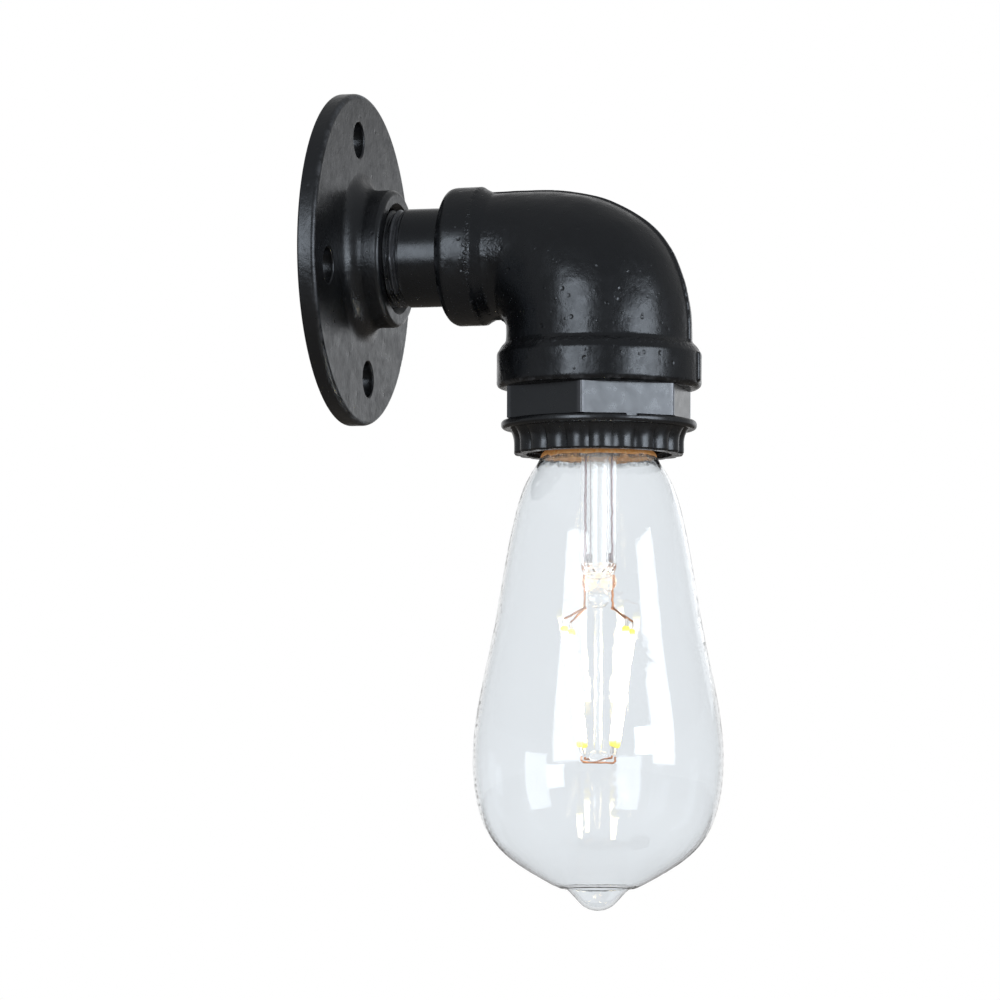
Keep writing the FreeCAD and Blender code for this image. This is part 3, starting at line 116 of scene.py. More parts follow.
def maths(tree, operation, first, second):
    """One step of arithmetic on sockets or numbers."""
    node = add(tree, "ShaderNodeMath", operation=operation)
    for index, item in enumerate((first, second)):
        if isinstance(item, (int, float)):
            node.inputs[index].default_value = item
        else:
            tree.links.new(item, node.inputs[index])
    return node.outputs["Value"]


def blend_colours(tree, factor, first, second):
    """A mix of two colours, each a tuple or a socket, by a factor."""
    node = add(tree, "ShaderNodeMix", data_type="RGBA")
    tree.links.new(factor, node.inputs["Factor"])
    for socket, colour in (("A", first), ("B", second)):
        if isinstance(colour, tuple):
            node.inputs[socket].default_value = (*colour, 1)
        else:
            tree.links.new(colour, node.inputs[socket])
    return node.outputs["Result"]


def height_of(tree, where):
    """Height above the pipe's axis in metres."""
    node = add(tree, "ShaderNodeSeparateXYZ")
    tree.links.new(where, node.inputs[0])
    return node.outputs["Z"]


def reach_of(tree, where):
    """Distance out from the wall in metres."""
    node = add(tree, "ShaderNodeSeparateXYZ")
    tree.links.new(where, node.inputs[0])
    return maths(tree, "MULTIPLY", node.outputs["Y"], -1.0)


def distance_from(tree, where, point, stretch=(1.0, 1.0, 1.0)):
    """Distance to a point in metres; a stretch of 0 along an axis gives distance to a line."""
    node = add(tree, "ShaderNodeVectorMath", operation="SUBTRACT")
    tree.links.new(where, node.inputs[0])
    node.inputs[1].default_value = point
    scaled = add(tree, "ShaderNodeVectorMath", operation="MULTIPLY")
    tree.links.new(node.outputs[0], scaled.inputs[0])
    scaled.inputs[1].default_value = stretch
    length = add(tree, "ShaderNodeVectorMath", operation="LENGTH")
    tree.links.new(scaled.outputs[0], length.inputs[0])
    return length.outputs["Value"]


def band(tree, value, centre, half_width):
    """One where a length is at centre, nought beyond half_width, both in millimetres."""
    away = maths(tree, "ABSOLUTE", maths(tree, "SUBTRACT", value, centre * MM), 0.0)
    return remap(tree, away, 0.0, half_width * MM, 1.0, 0.0)


def highest(tree, *values):
    """The greatest of several values."""
    top = values[0]
    for value in values[1:]:
        top = maths(tree, "MAXIMUM", top, value)
    return top


def layers(tree, *parts):
    """The sum of (value, weight) pairs."""
    total = 0.0
    for value, weight in parts:
        total = maths(tree, "ADD", maths(tree, "MULTIPLY", value, weight), total)
    return total


def bump(tree, height, distance=1.0):
    """A bump whose height is distance millimetres for a change of one."""
    node = add(tree, "ShaderNodeBump", in_Distance=distance * MM)
    tree.links.new(height, node.inputs["Height"])
    return node.outputs["Normal"]


# ---- black coats -------------------------------------------------------------------------------

COOL_GLOSS = (0.84, 0.91, 1.0, 1.0)     # the black coats shine a little blue
FLASH_REACH = 37.2          # millimetres from the wall to the mould's flash on the pipe's collar
FLASH_HEIGHT = -24.6        # height in millimetres of the flash on the wide collar
PATCHES = (((-17.0, -43.5, 1.0), 5.5), ((-12.5, -79.0, -25.5), 6.0), ((16.0, -48.0, -6.0), 5.0),
           ((9.0, -88.0, -8.0), 4.5), ((-4.0, -45.0, 16.5), 4.0))    # rough places and their radii
PATCH_CORE = 2.0            # radius in millimetres within which the paint is fully rough


def cast_skin(tree, where):
    """The fine relief of painted cast iron in millimetres: orange peel, pits and grains."""
    return layers(tree,
                  (noise(tree, where, 9.0), 0.12),
                  (noise(tree, where, 1.5, 3.0, 0.6), 0.08),
                  (noise(tree, where, 0.35), 0.012),
                  (remap(tree, spots(tree, where, 4.2), 0.05, 0.16), 0.10),
                  (remap(tree, spots(tree, where, 3.1), 0.04, 0.13, 1.0, 0.0), 0.06))


def coarse_patch(tree, where, spot, size):
    """One in the middle of a rough place, nought beyond its radius."""
    away = distance_from(tree, where, tuple(part * MM for part in spot))
    return remap(tree, away, PATCH_CORE * MM, size * MM, 1.0, 0.0)


def elbow_skin(tree, where):
    """Cast relief with rough flash along both collars and two coarse patches."""
    flash = highest(tree,
                    band(tree, reach_of(tree, where), FLASH_REACH, 0.9),
                    band(tree, height_of(tree, where), FLASH_HEIGHT, 1.1))
    patch = highest(tree, *(coarse_patch(tree, where, *entry) for entry in PATCHES[:2]))
    rough = noise(tree, where, 1.1, 2.0, 0.6)
    lip = maths(tree, "MULTIPLY", flash, remap(tree, rough, 0.4, 0.6))
    crust = maths(tree, "MULTIPLY", patch, rough)
    return layers(tree, (cast_skin(tree, where), 1.0), (lip, 0.14), (crust, 0.22))


def flange_skin(tree, where):
    """A flatter cast relief with a fine orange peel and a few pits."""
    return layers(tree,
                  (noise(tree, where, 16.0), 0.16),
                  (noise(tree, where, 1.3, 3.0, 0.6), 0.075),
                  (noise(tree, where, 0.5), 0.018),
                  (remap(tree, spots(tree, where, 5.5), 0.05, 0.14), 0.07))


def tube_skin(tree, where):
    """Drawn tube under paint: nearly smooth, with a faint ripple."""
    return layers(tree,
                  (noise(tree, where, 7.0), 0.10),
                  (noise(tree, where, 1.2, 3.0), 0.022),
                  (noise(tree, where, 0.3), 0.006))


def turned_skin(tree, where):
    """Machined flats under thin paint, with a slow ripple and a fine grain."""
    return layers(tree,
                  (noise(tree, where, 14.0), 0.06),
                  (noise(tree, where, 1.0, 3.0), 0.005),
                  (noise(tree, where, 0.25), 0.002))


def worn_thread(tree, where):
    """Where paint is rubbed off the nipple's thread beside the hub."""
    return maths(tree, "MULTIPLY", band(tree, reach_of(tree, where), 15.4, 2.8),
                 remap(tree, noise(tree, where, 5.0, 2.0), 0.35, 0.65, 0.0, 0.8))


def worn_corners(tree, where):
    """Where paint is rubbed thin on the hexagon's six corners."""
    radius = distance_from(tree, where, LAMP_AXIS, (1.0, 1.0, 0.0))
    return maths(tree, "MULTIPLY", remap(tree, radius, 24.25 * MM, 24.75 * MM),
                 remap(tree, noise(tree, where, 3.0, 3.0, 0.6), 0.3, 0.6, 0.35, 1.0))


def worn_rim(tree, where):
    """Where paint is rubbed thin round the flange's front edge."""
    radius = distance_from(tree, where, (0.0, 0.0, 0.0), (1.0, 0.0, 1.0))
    front = remap(tree, reach_of(tree, where), 3.3 * MM, 4.2 * MM)
    edge = maths(tree, "MULTIPLY", band(tree, radius, 42.4, 0.7), front)
    return maths(tree, "MULTIPLY", edge,
                 remap(tree, noise(tree, where, 4.0, 4.0, 0.65), 0.42, 0.62, 0.0, 0.8))


def worn_collars(tree, where):
    """Where paint is rubbed thin on the outer edges of the elbow's two collars."""
    edges = highest(tree, band(tree, reach_of(tree, where), 28.9, 0.8),
                    band(tree, height_of(tree, where), -34.4, 0.8))
    return maths(tree, "MULTIPLY", edges,
                 remap(tree, noise(tree, where, 2.5, 4.0, 0.65), 0.48, 0.66, 0.0, 0.6))


def black_paint(name, skin, worn, roughness=(0.21, 0.34), specular=0.75, ior=1.5):
    """Satin black paint over iron: its relief, its tone, and the iron where it is worn."""
    material, tree, shader = new_material(name)
    where = place(tree)
    tree.links.new(bump(tree, skin(tree, where)), shader.inputs["Normal"])
    tone = blend_colours(tree, noise(tree, where, 14.0, 3.0), (0.0030, 0.0033, 0.0042),
                         (0.0060, 0.0066, 0.0080))
    bare = worn(tree, where)
    tree.links.new(blend_colours(tree, bare, tone, (0.16, 0.17, 0.19)), shader.inputs["Base Color"])
    tree.links.new(maths(tree, "MULTIPLY", bare, 0.8), shader.inputs["Metallic"])
    rough = remap(tree, noise(tree, where, 3.0, 4.0, 0.6), 0.3, 0.7, *roughness)
    tree.links.new(rough, shader.inputs["Roughness"])
    shader.inputs["Specular IOR Level"].default_value = specular
    shader.inputs["IOR"].default_value = ior
    shader.inputs["Specular Tint"].default_value = COOL_GLOSS
    return material


# ---- other materials ---------------------------------------------------------------------------

def moulded_resin(name, colour, roughness=0.3, specular=0.6):
    """Moulded black resin: nearly smooth, with a faint ripple and fine grain."""
    material, tree, shader = new_material(name)
    where = place(tree)
    ripple = noise(tree, where, 5.0, 2.0)
    grain = noise(tree, where, 0.4, 2.0)
    height = maths(tree, "ADD", maths(tree, "MULTIPLY", ripple, 0.10),
                   maths(tree, "MULTIPLY", grain, 0.008))
    tree.links.new(bump(tree, height), shader.inputs["Normal"])
    lighter = tuple(min(1.0, part * 1.35 + 0.001) for part in colour)
    tone = blend_colours(tree, noise(tree, where, 8.0, 3.0), colour, lighter)
    tree.links.new(tone, shader.inputs["Base Color"])
    rough = remap(tree, noise(tree, where, 2.0, 3.0), 0.3, 0.7, roughness - 0.05, roughness + 0.07)
    tree.links.new(rough, shader.inputs["Roughness"])
    shader.inputs["Specular IOR Level"].default_value = specular
    shader.inputs["Specular Tint"].default_value = COOL_GLOSS
    return material


def metal(name, colour, roughness=0.28, tarnish=(0.5, 0.45, 0.4)):
    """Bright metal with faint drawn lines and slight tarnish."""
    material, tree, shader = new_material(name)
    where = place(tree)
    lines = noise(tree, where, 0.25, 3.0)
    tree.links.new(bump(tree, lines, 0.01), shader.inputs["Normal"])
    dull = tuple(part * shade for part, shade in zip(colour, tarnish))
    stain = remap(tree, noise(tree, where, 3.5, 4.0, 0.65), 0.45, 0.75)
    tone = blend_colours(tree, stain, colour, dull)
    tree.links.new(tone, shader.inputs["Base Color"])
    rough = remap(tree, stain, 0.0, 1.0, roughness, roughness + 0.2)
    tree.links.new(rough, shader.inputs["Roughness"])
    shader.inputs["Metallic"].default_value = 1.0
    return material


def matt(name, colour, other, size=1.2, roughness=0.7, relief=0.03):
    """A matt mineral, fibre or sleeve surface of two close tones."""
    material, tree, shader = new_material(name)
    where = place(tree)
    speckle = noise(tree, where, size, 4.0, 0.6)
    tone = blend_colours(tree, remap(tree, speckle, 0.35, 0.65), colour, other)
    tree.links.new(tone, shader.inputs["Base Color"])
    tree.links.new(bump(tree, speckle, relief), shader.inputs["Normal"])
    rough = remap(tree, speckle, 0.3, 0.7, roughness - 0.08, roughness + 0.1)
    tree.links.new(rough, shader.inputs["Roughness"])
    return material


def clear_glass(name, tint=(0.890, 0.914, 0.934), ripple=0.02, lit=0.0):
    """Clear blown glass that lets lamp light through to what it holds, with a painted glow of the
    given strength standing in for lamp light scattered in it.
    """
    material, tree, shader = new_material(name)
    shader.inputs["Base Color"].default_value = (*tint, 1)
    shader.inputs["Transmission Weight"].default_value = 1.0
    shader.inputs["IOR"].default_value = 1.5
    # painted glow: emission standing in for lamp light scattered in the glass
    shader.inputs["Emission Color"].default_value = (1.0, 0.96, 0.92, 1)
    shader.inputs["Emission Strength"].default_value = lit
    where = place(tree)
    tree.links.new(bump(tree, noise(tree, where, 22.0, 1.0), ripple), shader.inputs["Normal"])
    rough = remap(tree, noise(tree, where, 9.0, 3.0), 0.4, 0.8, 0.0, 0.03)
    tree.links.new(rough, shader.inputs["Roughness"])
    through = add(tree, "ShaderNodeBsdfTransparent", in_Color=(0.97, 0.985, 0.99, 1))
    path = add(tree, "ShaderNodeLightPath")
    mix = add(tree, "ShaderNodeMixShader")
    tree.links.new(path.outputs["Is Shadow Ray"], mix.inputs[0])
    tree.links.new(shader.outputs[0], mix.inputs[1])
    tree.links.new(through.outputs[0], mix.inputs[2])
    output = tree.nodes["Material Output"]
    tree.links.new(mix.outputs[0], output.inputs["Surface"])
    return material


def stem_glass(name):
    """The stem's clear glass, stained copper red in the pinch, with a painted warm glow there and a
    faint painted glow all over.
    """
    material = clear_glass(name, (0.955, 0.965, 0.97), 0.05, 0.05)
    tree = material.node_tree
    shader = tree.nodes["Principled BSDF"]
    where = place(tree)
    seal_and_glow = maths(tree, "MULTIPLY", band(tree, height_of(tree, where), -84.6, 3.6),
                 remap(tree, noise(tree, where, 1.3, 3.0, 0.6), 0.40, 0.58))
    stain = blend_colours(tree, seal_and_glow, (0.955, 0.965, 0.97), (1.0, 0.70, 0.44))
    tree.links.new(stain, shader.inputs["Base Color"])
    # painted glow: warm emission in the pinch and a faint one all over, standing in for the
    # filaments' light
    glow = blend_colours(tree, seal_and_glow, (1.0, 0.96, 0.92), (1.0, 0.66, 0.36))
    tree.links.new(glow, shader.inputs["Emission Color"])
    tree.links.new(maths(tree, "ADD", maths(tree, "MULTIPLY", seal_and_glow, 0.55), 0.04),
                   shader.inputs["Emission Strength"])
    return material


def cement_with_painted_glow(name):
    """Baked amber cement mottled in two tones, the paler partly painted lamp light, with a painted
    orange glow standing in for the lamp's light through it.
    """
    material = matt(name, (0.74, 0.36, 0.13), (0.98, 0.66, 0.34), 0.9)
    shader = material.node_tree.nodes["Principled BSDF"]
    # painted glow: orange emission standing in for the lamp's light through the cement, which is no
    # lamp
    shader.inputs["Emission Color"].default_value = (1.0, 0.42, 0.12, 1)
    shader.inputs["Emission Strength"].default_value = 0.16
    return material


def grey_film(name):
    """A thin grey film with ragged, partly clear patches."""
    material, tree, shader = new_material(name)
    where = place(tree)
    patches = noise(tree, where, 1.6, 4.0, 0.65)
    tree.links.new(blend_colours(tree, patches, (0.20, 0.21, 0.22), (0.42, 0.42, 0.42)),
                   shader.inputs["Base Color"])
    fade = remap(tree, height_of(tree, where), -54.2 * MM, -53.2 * MM)
    cover = maths(tree, "MULTIPLY", fade, remap(tree, patches, 0.38, 0.6, 0.08, 0.55))
    tree.links.new(cover, shader.inputs["Alpha"])
    shader.inputs["Roughness"].default_value = 0.6
    return material


def lamp_wire(name):
    """The lamp's wires: dull red-grey nickel above, a dark weld, and bare copper below it."""
    material = metal(name, (0.50, 0.24, 0.13), 0.35)
    tree = material.node_tree
    shader = tree.nodes["Principled BSDF"]
    height = height_of(tree, place(tree))
    upper = remap(tree, height, -80.0 * MM, -78.4 * MM)
    copper = shader.inputs["Base Color"].links[0].from_socket
    tone = blend_colours(tree, upper, copper, (0.30, 0.22, 0.23))
    weld = band(tree, height, -78.9, 1.6)
    tree.links.new(blend_colours(tree, weld, tone, (0.16, 0.15, 0.16)),
                   shader.inputs["Base Color"])
    return material


def lit_phosphor(name, strength=14.0):
    """The lit filament: blown-out warm light, fading to a yellow sleeve at its two ends."""
    material, tree, shader = new_material(name)
    where = place(tree)
    beads = remap(tree, noise(tree, where, 1.0, 2.0), 0.3, 0.7)
    tone = blend_colours(tree, beads, (0.95, 0.78, 0.10), (1.0, 0.84, 0.18))
    tree.links.new(tone, shader.inputs["Base Color"])
    height = height_of(tree, where)
    above = maths(tree, "SUBTRACT", FILAMENT_TOP, height)
    below = maths(tree, "SUBTRACT", height, FILAMENT_BOTTOM)
    lit = remap(tree, maths(tree, "MINIMUM", above, below), 0.8 * MM, 2.6 * MM)
    glow = blend_colours(tree, lit, (1.0, 0.86, 0.12), (1.0, 0.80, 0.54))
    tree.links.new(glow, shader.inputs["Emission Color"])
    power = maths(tree, "MULTIPLY", maths(tree, "POWER", lit, 2.0), strength)
    tree.links.new(maths(tree, "ADD", power, 0.25), shader.inputs["Emission Strength"])
    shader.inputs["Roughness"].default_value = 0.6
    return material


FILAMENT_BOTTOM, FILAMENT_TOP = (corner[2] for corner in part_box("filament_1"))
materials = {
    "black_iron": black_paint("black_cast_paint", elbow_skin, worn_collars),
    "black_resin": moulded_resin("black_resin_moulded", (0.0048, 0.0050, 0.0058), 0.28, 1.0),
    "pressed_fibre": matt("brown_fibre", (0.11, 0.06, 0.03), (0.16, 0.09, 0.05)),
    "glazed_ceramic": matt("white_ceramic", (0.78, 0.76, 0.71), (0.84, 0.82, 0.78), 2.0, 0.35),
    "zinc_steel": metal("zinc_steel_plated", (0.62, 0.63, 0.65)),
    "brass": metal("plain_brass", (0.78, 0.57, 0.26), 0.3, (0.6, 0.5, 0.4)),
    "spring_steel": metal("spring_steel_drawn", (0.5, 0.5, 0.52), 0.25),
    "black_sleeve": matt("black_lead_sleeve", (0.02, 0.02, 0.02), (0.03, 0.03, 0.03), 0.6, 0.5),
    "white_sleeve": matt("white_lead_sleeve", (0.75, 0.74, 0.71), (0.8, 0.79, 0.77), 0.6, 0.5),
    "tinned_copper": metal("tinned_copper_wire", (0.74, 0.72, 0.70)),
    "plated_brass": metal("brass_cap", (0.83, 0.62, 0.34), 0.24),
    "black_glass": moulded_resin("black_cap_glass", (0.01, 0.01, 0.014), 0.15, 0.5),
    "solder": metal("solder_tinned", (0.66, 0.66, 0.67), 0.35),
    "cement": cement_with_painted_glow("baked_cap_cement_painted_glow"),
    "board_green": matt("board_green_mask", (0.02, 0.13, 0.05), (0.03, 0.17, 0.07), 2.0, 0.4),
    "component_black": moulded_resin("component_resin", (0.02, 0.02, 0.02), 0.5),
    "clear_glass": clear_glass("clear_lamp_glass"),
    "phosphor": lit_phosphor("lit_phosphor_sleeve"),
    "nickel_wire": lamp_wire("copper_clad_lamp_wire"),
}
own_materials = {
    "wall_flange": black_paint("black_flange_paint", flange_skin, worn_rim, (0.26, 0.40), 0.85),
    "pipe_nipple": black_paint("black_tube_paint", tube_skin, worn_thread, (0.22, 0.31)),
    "hex_bushing": black_paint("black_hex_paint", turned_skin, worn_corners, (0.26, 0.33), 1.0,
                               1.6),
    "stem_glass": stem_glass("stem_glass_stained_painted_glow"),
    # the exhaust tube's 0.04 is a painted glow standing in for the filaments' light scattered in it
    "exhaust_tube": clear_glass("exhaust_tube_glass", (0.965, 0.97, 0.972), 0.05, 0.04),
}


def shade(piece, material):
    """Gives the whole piece one material."""
    piece.data.materials.clear()
    piece.data.materials.append(material)


slot_of = {entry["node"]: entry["material_slot"] for entry in frame["record"]["subparts"]}
for name, node in nodes.items():
    shade(node, own_materials.get(name, materials[slot_of[name]]))


# ---- cast elbow --------------------------------------------------------------------------------

ELBOW_CENTRES = tuple(Vector(point) * MM for point in (
    (0, -28, 0), (0, -36, 0), (0, -44, 0), (0, -52, -1), (0, -59, -4), (0, -64.5, -10),
    (0, -67, -17), (0, -68, -26), (0, -68, -35)))
FACE_SIZE = 0.48            # millimetres across each of the casting's even faces
SWELL_HEIGHT = 0.16         # the rest are heights in millimetres
DIMPLE_HEIGHT = 0.05
FLASH_LIFT = 0.24
CRUST_LIFT = 0.16


def smooth_step(low, high, value):
    """Nought below low, one above high and a smooth rise between them."""
    part = min(1.0, max(0.0, (value - low) / (high - low)))
    return part * part * (3 - 2 * part)


def ridge(value, centre, half_width):
    """One at centre, nought beyond half_width."""
    return 1.0 - smooth_step(0.0, half_width, abs(value - centre))


def outwardness(point, normal):
    """One on the elbow's outer skin, nought on its bores and flat ends."""
    centre = min(ELBOW_CENTRES, key=lambda item: (item - point).length_squared)
    return smooth_step(0.35, 0.7, normal.dot((point - centre).normalized()))


def cast_relief(point):
    """How far the casting stands proud at a point, in millimetres in and out."""
    place_mm = point / MM
    swell = (hash_noise.noise(place_mm / 8.5) * SWELL_HEIGHT
             + hash_noise.noise(place_mm / 3.4) * DIMPLE_HEIGHT)
    grain = hash_noise.noise(place_mm / 1.2) * 0.5 + 0.5
    flash = max(ridge(-place_mm.y, FLASH_REACH, 1.1), ridge(place_mm.z, FLASH_HEIGHT, 1.2))
    crust = max(ridge((place_mm - Vector(spot)).length, 0.0, size) for spot, size in PATCHES)
    return swell + FLASH_LIFT * flash * grain + CRUST_LIFT * crust * (grain - 0.4)


def make_cast_elbow():
    """The reducing elbow with its cast skin: even faces laid on the node, then raised."""
    node = nodes["reducing_elbow"]
    rough = bpy.data.objects.new("elbow_blank", node.data.copy())
    bpy.context.scene.collection.objects.link(rough)
    remesh = rough.modifiers.new("even_faces", "REMESH")
    remesh.mode = "VOXEL"
    remesh.voxel_size = FACE_SIZE * MM
    wrap = rough.modifiers.new("lie_on_node", "SHRINKWRAP")
    wrap.target = node
    wrap.wrap_method = "NEAREST_SURFACEPOINT"
    bpy.context.view_layer.update()
    finished = rough.evaluated_get(bpy.context.evaluated_depsgraph_get())
    data = bpy.data.meshes.new_from_object(finished)
    bpy.data.objects.remove(rough)
    normals = [entry.vector.copy() for entry in data.vertex_normals]
    for vertex, normal in zip(data.vertices, normals):
        lift = cast_relief(vertex.co) * outwardness(vertex.co, normal)
        vertex.co += normal * (lift * MM)
    data.shade_smooth()
    elbow = bpy.data.objects.new("cast_reducing_elbow", data)
    bpy.context.scene.collection.objects.link(elbow)
    shade(elbow, materials["black_iron"])
    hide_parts("reducing_elbow")
    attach(elbow, "arm")


def make_contact_spring():
    """The coil behind the centre contact: a copy of its node with a mesh of its own, riding on the
    arm.
    """
    spring = bpy.data.objects.new("contact_coil", nodes["contact_spring"].data.copy())
    bpy.context.scene.collection.objects.link(spring)
    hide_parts("contact_spring")
    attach(spring, "arm")
    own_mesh(spring)


make_cast_elbow()
make_contact_spring()


# ---- small parts of the lamp -------------------------------------------------------------------

GLASS_SLOPE = 0.66      # how far the glass widens for each millimetre down, below the cap


def lathe(name, outline, centre, steps=96, wander=0.0):
    """A closed outline of (radius, drop) in millimetres turned about an upright line.

    The lowest points wander up and down the glass by up to wander millimetres.
    """
    mesh = bmesh.new()
    lowest = max(drop for _, drop in outline)
    rings = []
    for step in range(steps):
        turn = 2 * math.pi * step / steps
        around = Vector((math.cos(turn), math.sin(turn), 0))
        sway = wander * hash_noise.noise(around * 3.7)
        ring = []
        for radius, drop in outline:
            shift = sway * max(0.0, 1.0 - (lowest - drop) / 1.2)
            point = around * (radius + GLASS_SLOPE * shift) - Vector((0, 0, drop + shift))
            ring.append(mesh.verts.new(Vector(centre) + point * MM))
        rings.append(ring)
    count = len(outline)
    for ring, after in zip(rings, rings[1:] + rings[:1]):
        for index in range(count):
            ahead = (index + 1) % count
            mesh.faces.new((ring[index], after[index], after[ahead], ring[ahead]))
    bmesh.ops.recalc_face_normals(mesh, faces=mesh.faces)
    data = bpy.data.meshes.new(name)
    mesh.to_mesh(data)
    mesh.free()
    data.shade_smooth()
    piece = bpy.data.objects.new(name, data)
    bpy.context.scene.collection.objects.link(piece)
    return piece


def make_cement_bead():
    """The bead of cement squeezed out below the cap's rim, lying on the glass."""
    outline = [(12.60, 50.34), (13.30, 50.62), (14.10, 51.22), (14.62, 51.80), (14.92, 52.50),
               (14.82, 52.72), (14.66, 52.50), (14.08, 51.60), (13.34, 50.96), (12.70, 50.44)]
    bead = lathe("cap_cement_bead", outline, LAMP_AXIS, wander=0.55)
    shade(bead, materials["cement"])
    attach(bead, "lamp")


def make_grey_glass_film():
    """A grey, ragged, partly clear film on the glass below the cement."""
    outer = [(14.66, 52.46), (14.94, 52.86), (15.21, 53.26), (15.48, 53.66), (15.68, 53.96)]
    inner = [(radius - 0.03, drop + 0.01) for radius, drop in reversed(outer)]
    stain = lathe("cap_grey_film", outer + inner, LAMP_AXIS, wander=0.9)
    shade(stain, grey_film("grey_film_on_glass"))
    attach(stain, "lamp")


def make_wire_welds():
    """The two thick welds where the lamp's wires change metal, inside the stem."""
    for name, turn in (("neutral_weld", LAMP_TURN), ("live_weld", LAMP_TURN - 180)):
        offset = 3.38 * MM
        around = Vector((math.cos(math.radians(turn)), -math.sin(math.radians(turn)), 0))
        outline = [(0.02, 77.4), (0.30, 77.45), (0.46, 77.7), (0.47, 78.6), (0.46, 79.5),
                   (0.30, 79.8), (0.02, 79.85)]
        weld = lathe(name, outline, Vector(LAMP_AXIS) + around * offset, 24)
        shade(weld, materials["nickel_wire"])
        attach(weld, "lamp")


make_cement_bead()
make_grey_glass_film()
make_wire_welds()


# ---- stage -------------------------------------------------------------------------------------

VIEW_AZIMUTH = -74.0        # degrees, the side that the photograph is taken from
VIEW_ELEVATION = -4.6       # degrees, a little below the light
VIEW_ROLL = 0.2             # degrees
VIEW_TARGET = (-0.0001, -0.0417, -0.0631)
VIEW_DISTANCE = 2.0         # metres
LENS = 280.1                # millimetres, on a sensor 36 millimetres wide
ROOM_LEVEL = 0.24           # how light the room before and beside the object is in its gloss
FILL_LEVEL = 0.30           # how much light the room itself gives
FLOOR_GLOW = 0.55           # how much paler than its own light the floor is seen
FLOOR_HEIGHT = -0.55        # metres, well below the lamp
SOFTBOX_TARGET = (0.0, -0.05, -0.06)
SOFTBOX_COLOUR = (0.94, 0.97, 1.0)
SOFTBOXES = (               # degrees round from the view, elevation, width, height, strength, metres
    ("left_softbox", -28.0, 11.0, 28.0, 30.0, 3.4, 1.3),
    ("right_softbox", 62.0, 9.0, 24.0, 27.0, 3.4, 1.3),
    ("low_softbox", 42.0, 5.0, 17.0, 11.0, 6.5, 1.3),
    ("far_softbox", 148.0, 9.0, 30.0, 12.0, 0.4, 0.6),
)


def direction(azimuth, elevation):
    """The way from the object towards an azimuth and an elevation in degrees."""
    turn, lift = math.radians(azimuth), math.radians(elevation)
    return Vector((math.sin(turn) * math.cos(lift), -math.cos(turn) * math.cos(lift),
                   math.sin(lift)))


def view_direction(elevation):
    """The way from the object towards the camera's side."""
    return direction(VIEW_AZIMUTH, elevation)


def make_camera():
    """The photograph's view: from the side, a little below the light, through a long lens."""
    away = view_direction(VIEW_ELEVATION)
    camera = bpy.data.objects.new("camera", bpy.data.cameras.new("camera"))
    camera.data.lens = LENS
    camera.data.sensor_width = 36.0
    camera.location = Vector(VIEW_TARGET) + away * VIEW_DISTANCE
    level = (-away).to_track_quat("-Z", "Y").to_matrix()
    camera.rotation_euler = (level @ Matrix.Rotation(math.radians(VIEW_ROLL), 3, "Z")).to_euler()
    bpy.context.scene.collection.objects.link(camera)
    bpy.context.scene.camera = camera


def make_softbox(name, azimuth, elevation, width, height, strength, distance):
    """A soft lamp facing the object; width and height are angles in degrees as seen from it."""
    target = Vector(SOFTBOX_TARGET)
    away = direction(azimuth, elevation)
    data = bpy.data.lights.new(name, "AREA")
    data.shape = "RECTANGLE"
    data.size = 2 * distance * math.tan(math.radians(width) / 2)
    data.size_y = 2 * distance * math.tan(math.radians(height) / 2)
    data.energy = strength * data.size * data.size_y * math.pi
    data.color = SOFTBOX_COLOUR
    lamp = bpy.data.objects.new(name, data)
    lamp.location = target + away * distance
    lamp.rotation_euler = (-away).to_track_quat("-Z", "Y").to_euler()
    bpy.context.scene.collection.objects.link(lamp)


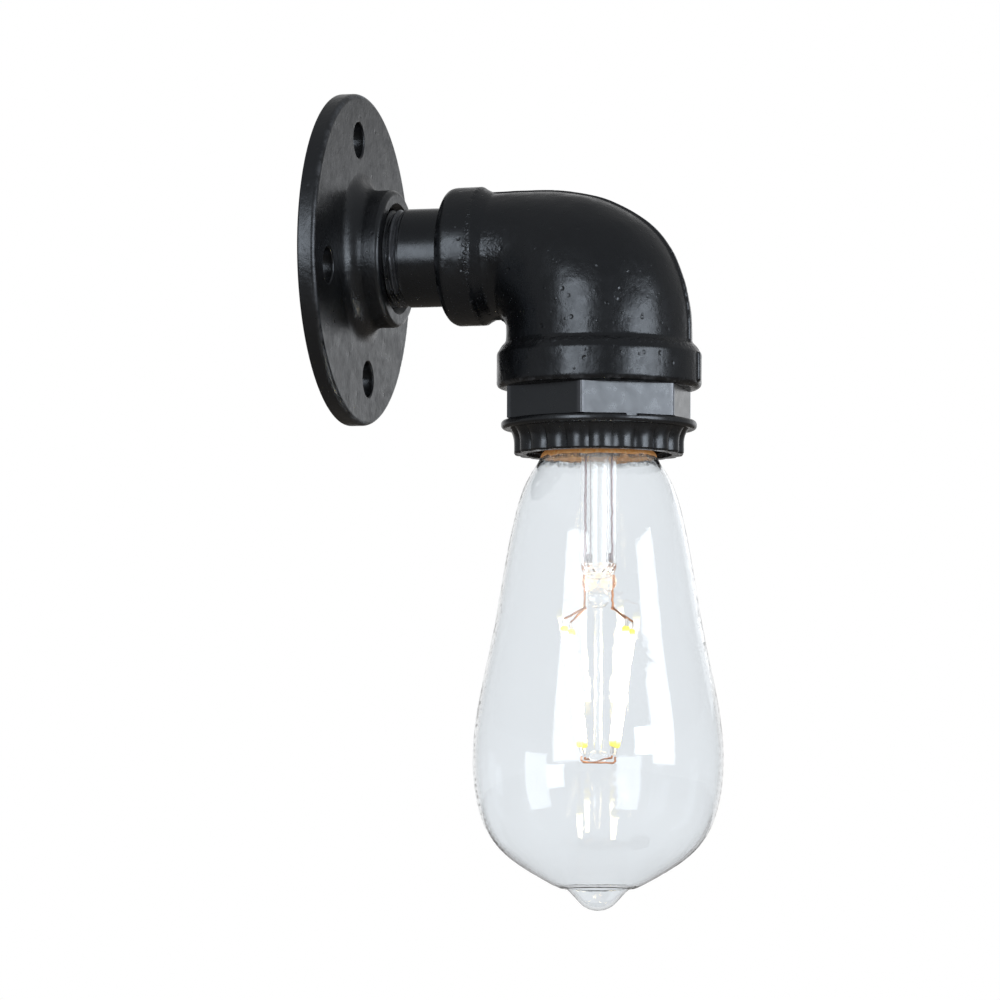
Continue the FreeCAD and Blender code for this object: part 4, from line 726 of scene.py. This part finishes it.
def make_world():
    """A pale room that rays to the camera and through glass see as plain white."""
    world = bpy.data.worlds.new("pale_room")
    world.use_nodes = True
    tree = world.node_tree
    tree.nodes.clear()
    path = add(tree, "ShaderNodeLightPath")
    seen = maths(tree, "MAXIMUM", path.outputs["Is Camera Ray"],
                 path.outputs["Is Transmission Ray"])
    behind = add(tree, "ShaderNodeVectorMath", operation="DOT_PRODUCT")
    tree.links.new(add(tree, "ShaderNodeTexCoord").outputs["Generated"], behind.inputs[0])
    behind.inputs[1].default_value = -view_direction(0.0)
    backdrop = remap(tree, behind.outputs["Value"], 0.79, 0.98, ROOM_LEVEL, 1.0)
    glossy = maths(tree, "MULTIPLY", path.outputs["Is Glossy Ray"], backdrop)
    diffuse = maths(tree, "MULTIPLY", path.outputs["Is Diffuse Ray"], FILL_LEVEL)
    strength = maths(tree, "MAXIMUM", seen, maths(tree, "MAXIMUM", glossy, diffuse))
    background = add(tree, "ShaderNodeBackground", in_Color=(1, 1, 1, 1))
    tree.links.new(strength, background.inputs["Strength"])
    output = add(tree, "ShaderNodeOutputWorld")
    tree.links.new(background.outputs[0], output.inputs["Surface"])
    bpy.context.scene.world = world


def make_floor():
    """A plain pale floor well below the light, clear from underneath."""
    bpy.ops.mesh.primitive_plane_add(size=8.0, location=(0, 0, FLOOR_HEIGHT))
    floor = bpy.context.object
    floor.name = "floor"
    material, tree, shader = new_material("pale_floor")
    where = place(tree)
    pale = blend_colours(tree, noise(tree, where, 400.0), (0.86, 0.86, 0.86), (0.9, 0.9, 0.9))
    path = add(tree, "ShaderNodeLightPath")
    seen = maths(tree, "MAXIMUM", path.outputs["Is Camera Ray"],
                 path.outputs["Is Transmission Ray"])
    tree.links.new(blend_colours(tree, seen, (0.30, 0.27, 0.24), pale), shader.inputs["Base Color"])
    shader.inputs["Emission Color"].default_value = (1, 1, 1, 1)
    tree.links.new(maths(tree, "MULTIPLY", seen, FLOOR_GLOW), shader.inputs["Emission Strength"])
    shader.inputs["Roughness"].default_value = 0.9
    shader.inputs["Specular IOR Level"].default_value = 0.0
    below = add(tree, "ShaderNodeNewGeometry").outputs["Backfacing"]
    tree.links.new(maths(tree, "SUBTRACT", 1.0, below), shader.inputs["Alpha"])
    floor.data.materials.append(material)


make_camera()
make_world()
make_floor()
for box_name, turn, *shape in SOFTBOXES:
    make_softbox(box_name, VIEW_AZIMUTH + turn, *shape)
bpy.context.scene.view_settings.view_transform = "Standard"
